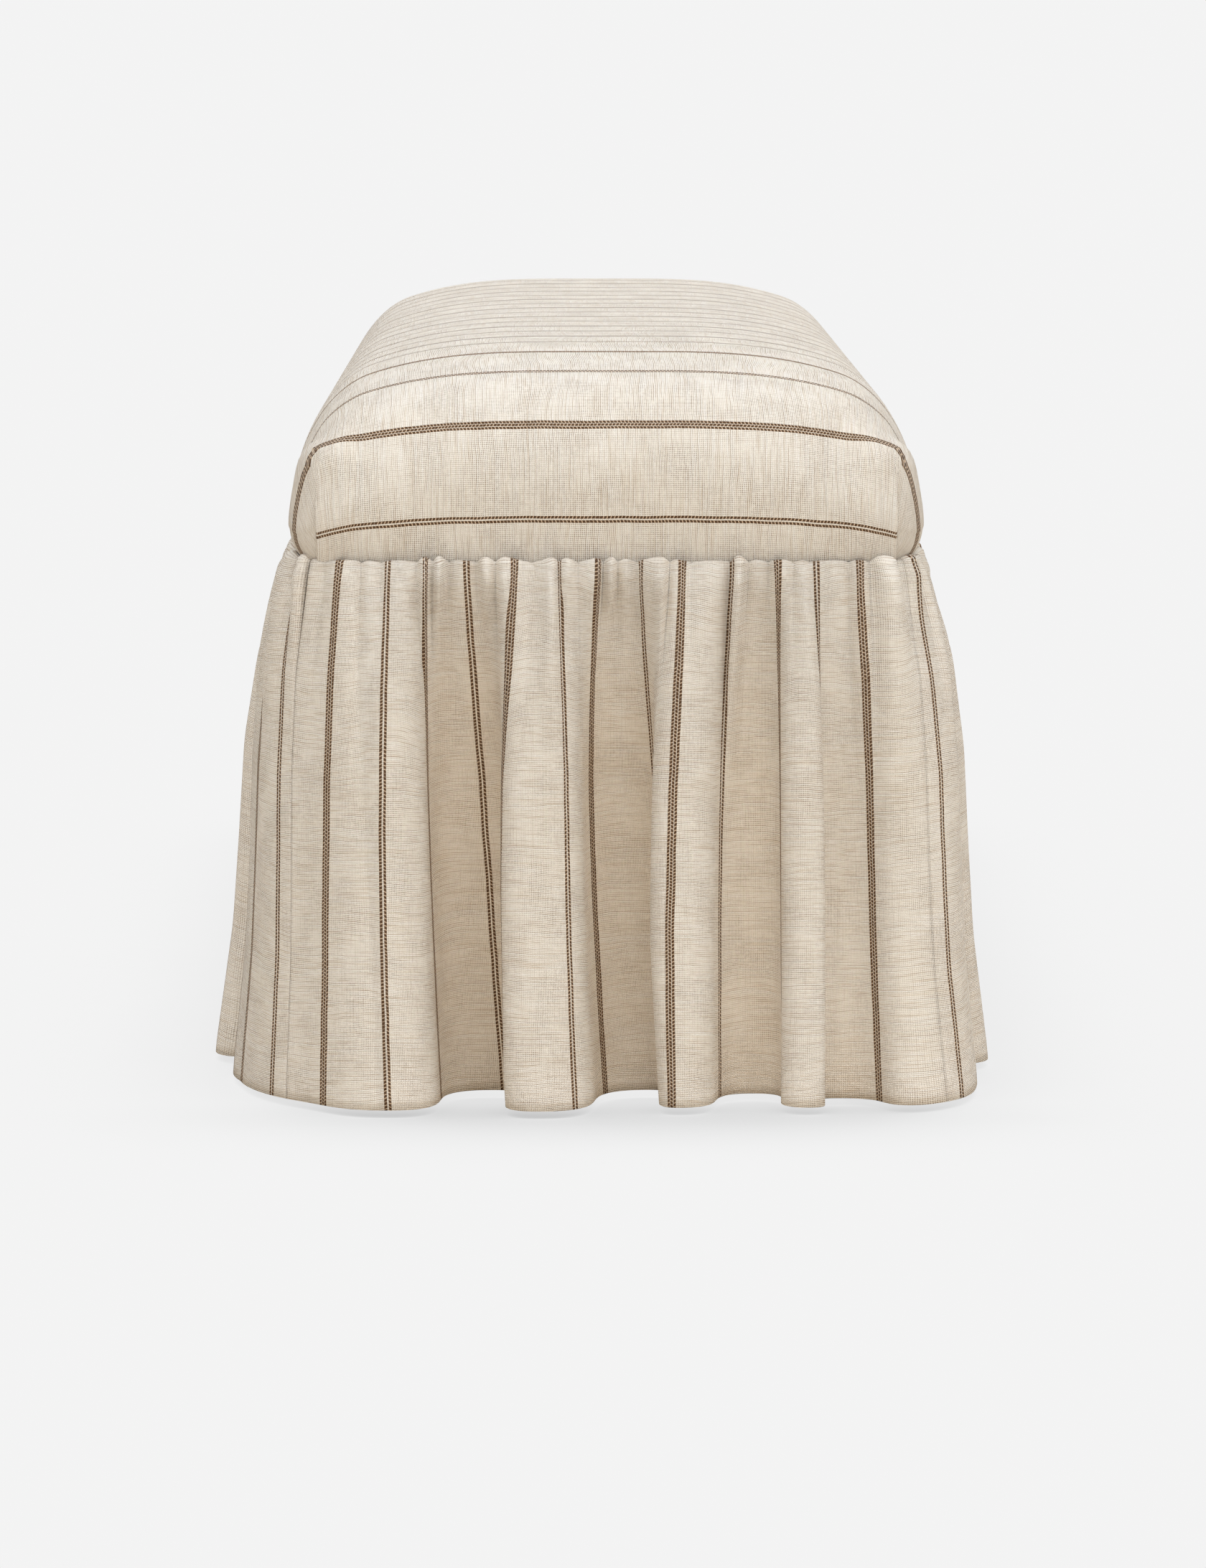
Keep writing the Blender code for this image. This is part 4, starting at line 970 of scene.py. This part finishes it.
def gathers(places, drop):
    """Small ridges under the seam, which die out at different heights: distance out, and each one's size."""
    rng = np.random.default_rng(FOLD_SEED + 1)
    turn = places * GATHERS
    for waves, size in GATHER_WAVES:
        turn = turn + size * np.sin(2 * math.pi * places * waves)
    number = np.floor(turn).astype(int) % GATHERS
    fade = rng.uniform(*GATHER_FADE, GATHERS)[number]
    size = rng.uniform(*GATHER_SIZES, GATHERS)[number]
    lean = rng.uniform(-GATHER_LEAN, GATHER_LEAN, GATHERS)[number]
    share = turn % 1
    ridge = np.sin(math.pi * (share + lean * share * (1 - share))) ** GATHER_ROUNDNESS
    start = mix(GATHER_START, 1.0, smoothstep(drop / 0.03))
    return GATHER_DEPTH * size * ridge * start * np.exp(-(drop / fade) ** GATHER_FADE_POWER), size * ridge


def round_bench(place, out, drop):
    """Points round the seam's outline, from the front left corner on, moved out from it."""
    width, length = 2 * SEAM_HALF_X, 2 * SEAM_HALF_Y
    on_side = place > width
    half = np.where(on_side, SEAM_HALF_Y, SEAM_HALF_X)
    across = np.where(on_side, SEAM_HALF_X, SEAM_HALF_Y)
    local = np.where(on_side, place - width - length / 2, place - width / 2)
    radius = mix(GATHER_RADIUS, HEM_RADIUS, drop)
    straight = half - radius
    run = local / half * (straight + radius * math.pi / 4)
    turn = np.clip(np.abs(run) - straight, 0.0, None) / radius
    x = np.clip(run, -straight, straight) + np.sign(run) * np.sin(turn) * (radius + out)
    y = radius - across - np.cos(turn) * (radius + out)
    return np.where(on_side, -y, x), np.where(on_side, x, y)


def fold_shade_depths(outs):
    """How deep cloth lies behind the crests beside it, from 0 to 1; it sets the painted fold shade."""
    reach = FOLD_SHADE_COLUMNS
    wide = np.pad(outs, ((0, 0), (reach, reach)), mode="edge")
    crests = np.lib.stride_tricks.sliding_window_view(wide, 2 * reach + 1, axis=1).max(axis=-1)
    return smoothstep((crests - outs - FOLD_SHADE_DEPTHS[0]) / (FOLD_SHADE_DEPTHS[1] - FOLD_SHADE_DEPTHS[0]))


def fold_growth(hem_out, drift, gather, hem, drop):
    """Each fold's distance out and its place round the seam, down the drop."""
    crest = eased(CREST_GROWTH, drop[:, 0])[:, None]
    valley = eased(VALLEY_GROWTH, drop[:, 0])[:, None]
    early = np.ones(len(hem_out))
    early[1:len(FRONT_FOLDS)] = FRONT_GROWTH_POWER
    out = GATHER_OUT + (hem_out - GATHER_OUT) * np.where(hem_out > 0, crest ** early, valley)
    place = mix(gather, hem, drop ** HEM_SWING) + drift * np.sin(math.pi * drop)
    place[:, [0, -1]] = gather[[0, -1]]
    return out, place


def fold_columns(stripes, out, place):
    """Columns of points from fold to fold: their stripe counts, places round the seam and distances out."""
    steepness, angles = fold_angles()
    counts, places, outs = [], [], []
    for index in range(len(stripes) - 1):
        flat_length = (stripes[index + 1] - stripes[index]) * STRIPE_SPACING
        column = FRONT_COLUMN if stripes[index] < FRONT_STRIPES else SIDE_COLUMN
        share = np.linspace(0.0, 1.0, max(LEAST_COLUMNS, round(flat_length / column)) + 1)
        forward = place[:, index + 1] - place[:, index]
        outward = out[:, index + 1] - out[:, index]
        bend = np.interp(np.abs(outward) / forward, steepness, angles)[:, None] * fold_bend(share)
        along, away = running_sum(np.cos(bend)), running_sum(np.sin(bend))
        along = along / along[:, -1:]
        away = np.where(away[:, -1:] > 1e-9, away / np.maximum(away[:, -1:], 1e-9), share)
        last = None if index == len(stripes) - 2 else -1
        counts.append(mix(stripes[index], stripes[index + 1], share)[:last])
        places.append((place[:, index:index + 1] + forward[:, None] * along)[:, :last])
        outs.append((out[:, index:index + 1] + outward[:, None] * away)[:, :last])
    return np.concatenate(counts), np.concatenate(places, axis=1), np.concatenate(outs, axis=1)


def skirt_net():
    """Half the skirt, from the front left corner to the back right one.

    Gives its points, flat coordinates, stripe counts, the cloth's spread and its depth for the painted fold
    shade.
    """
    (stripes, gather, hem, hem_out), drift = fold_list()
    drop = np.linspace(0.0, 1.0, SKIRT_ROWS + 1)[:, None] ** ROW_CROWDING
    counts, places, outs = fold_columns(stripes, *fold_growth(hem_out, drift, gather, hem, drop))
    depth, ridge = gathers((counts - counts[0]) / (counts[-1] - counts[0]), drop)
    end = FRONT_FOLDS[-1][0] + FRONT_BLEND / 2
    on_front = smoothstep((counts - counts[0]) / FRONT_BLEND) * smoothstep((end - counts) / FRONT_BLEND)
    depth = depth * mix(SIDE_GATHERS, 1.0, on_front)
    level = SEAM_HEIGHT - drop * (SEAM_HEIGHT - HEM_HEIGHT) + 0 * depth
    smooth = stacked(*round_bench(places, outs, drop), level)
    points = stacked(*round_bench(places, outs + depth, drop), level)

    turn = np.linspace(0.0, math.pi, ROLL_ROWS + 1)[:-1, None]
    roll_out = mix(ROLL_START, outs[0] + depth[0], (1 - np.cos(turn)) / 2)
    roll_up = SEAM_HEIGHT + np.sin(turn) * mix(*ROLL_RISE, ridge / max(GATHER_SIZES))
    roll = stacked(*round_bench(places[0] + 0 * turn, roll_out, 0.0), roll_up)
    points = np.concatenate([roll, points])
    outs = np.concatenate([outs[:1] + 0 * turn, outs])

    down = np.linalg.norm(np.diff(smooth, axis=0), axis=-1)
    along = np.concatenate([np.zeros((1, len(counts))), np.cumsum(down, axis=0)])
    along = np.concatenate([ROLL_LENGTH * (turn / math.pi - 1) + 0 * counts, along])
    across = WIDE_STRIPE_AT + (counts - 1) * STRIPE_SPACING + 0 * along
    speed = np.linalg.norm(np.gradient(points, axis=1), axis=-1) / (np.gradient(counts) * STRIPE_SPACING)
    return points, stacked(across, along), counts, np.clip(speed, *SPREAD_LIMITS), fold_shade_depths(outs)


def make_skirt(cloth):
    """Four panels: the front and the right side, and the same two turned half round the bench."""
    points, flat, counts, spread, fold_shade_depth = skirt_net()
    corner = int(np.argmin(np.abs(counts - FRONT_FOLDS[-1][0])))
    for name, first, last, half_turn in (
        ("front", 0, corner, False),
        ("right", corner, len(counts) - 1, False),
        ("back", 0, corner, True),
        ("left", corner, len(counts) - 1, True),
    ):
        part = np.s_[:, first:last + 1]
        net = points[part] * ((-1, -1, 1) if half_turn else (1, 1, 1))
        there = flat[part] + (HALF_ROUND_STRIPES * STRIPE_SPACING * half_turn, 0.0)
        faces = grid_faces(*net.shape[:2])
        panel = new_piece(f"gathered_skirt_{name}", net, faces, there, cloth, spread[part], fold_shade_depth[part])
        thicken(panel, CLOTH_THICKNESS)
        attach(panel, "root")
        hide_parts(f"skirt_{name}")


# Frame and stage


def dress_frame():
    """Finishes of the solids that stay: wood, webs, glides and bands, and steel for the rest."""
    along_x, along_y, along_z = (4.0, 60.0, 60.0), (60.0, 4.0, 60.0), (60.0, 60.0, 4.0)
    jute = plain_weave("jute_web", 0.0022, (0.26, 0.18, 0.10), (0.58, 0.45, 0.29))
    finishes = (
        ("side_rail_", hardwood("hardwood_rails", along_y)),
        (("end_rail_", "cross_rail_", "corner_block_"), hardwood("hardwood_ends", along_x)),
        ("leg_", hardwood("hardwood_legs", along_z)),
        (("cross_web_", "long_web_"), jute),
        ("glide_", glide_nylon()),
        ("skirt_band_", plain_weave("tack_tape", 0.0012, (0.50, 0.43, 0.32), (0.76, 0.69, 0.56))),
    )
    steel = zinc_steel()
    for name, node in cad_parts.items():
        material = next((finish for starts, finish in finishes if name.startswith(starts)), steel)
        node.data.materials.clear()
        node.data.materials.append(material)


def add_floor():
    """The floor, which is not part of the bench."""
    bpy.ops.mesh.primitive_plane_add(size=FLOOR_SIZE)
    floor = bpy.context.object
    floor.name = "floor"
    floor.data.materials.append(pale_floor())


def light_sky():
    """Soft light from overhead that fades out at the horizon, where the view shows the floor's grey."""
    world = bpy.data.worlds.new("soft_studio")
    world.use_nodes = True
    sky = Nodes(world.node_tree)
    direction = sky.node("ShaderNodeTexCoord").outputs["Generated"]
    ramp = sky.node("ShaderNodeValToRGB", {0: sky.split(direction)[2]})
    for stop, height, light in zip(ramp.color_ramp.elements, SKY_HEIGHTS, (HORIZON_LIGHT, OVERHEAD_LIGHT)):
        stop.position = height
        stop.color = (*light, 1.0)
    rays = sky.node("ShaderNodeLightPath").outputs
    seen = sky.math("MAXIMUM", rays["Is Camera Ray"], rays["Is Transmission Ray"])
    shown = sky.tint(seen, ramp.outputs[0], FLOOR_GREY)
    sky.put(sky.tree.nodes["Background"].inputs["Color"], shown)
    bpy.context.scene.world = world


def add_lamps():
    """Broad lamps from above, from the front and from the front right."""
    for name, direction, spread, energy, colour in LAMPS:
        lamp = bpy.data.lights.new(name, "SUN")
        lamp.energy = energy
        lamp.angle = math.radians(spread)
        lamp.color = colour
        add_object(name, lamp).rotation_euler = Vector(direction).to_track_quat("-Z", "Y").to_euler()


def place_camera():
    """The photographed view, nearly square on to the front and a little from above."""
    camera = add_object("camera", bpy.data.cameras.new("camera"))
    camera.data.lens = CAMERA_LENS
    camera.data.sensor_width = CAMERA_SENSOR
    camera.location = CAMERA_PLACE
    camera.rotation_euler = (math.radians(90 - CAMERA_TILT), 0.0, math.radians(-CAMERA_TURN))
    bpy.context.scene.camera = camera
    bpy.context.scene.view_settings.view_transform = "Standard"


cloth = striped_cloth()
dress_frame()
make_cover(cloth)
make_skirt(cloth)
make_filling(white_batting(), seat_foam())
make_level_cloths(
    plain_weave("deck_hessian", 0.0018, (0.22, 0.16, 0.09), (0.52, 0.40, 0.26)),
    plain_weave("dust_cloth", 0.0009, (0.012, 0.012, 0.012), (0.055, 0.055, 0.055)),
)
add_floor()
light_sky()
add_lamps()
place_camera()
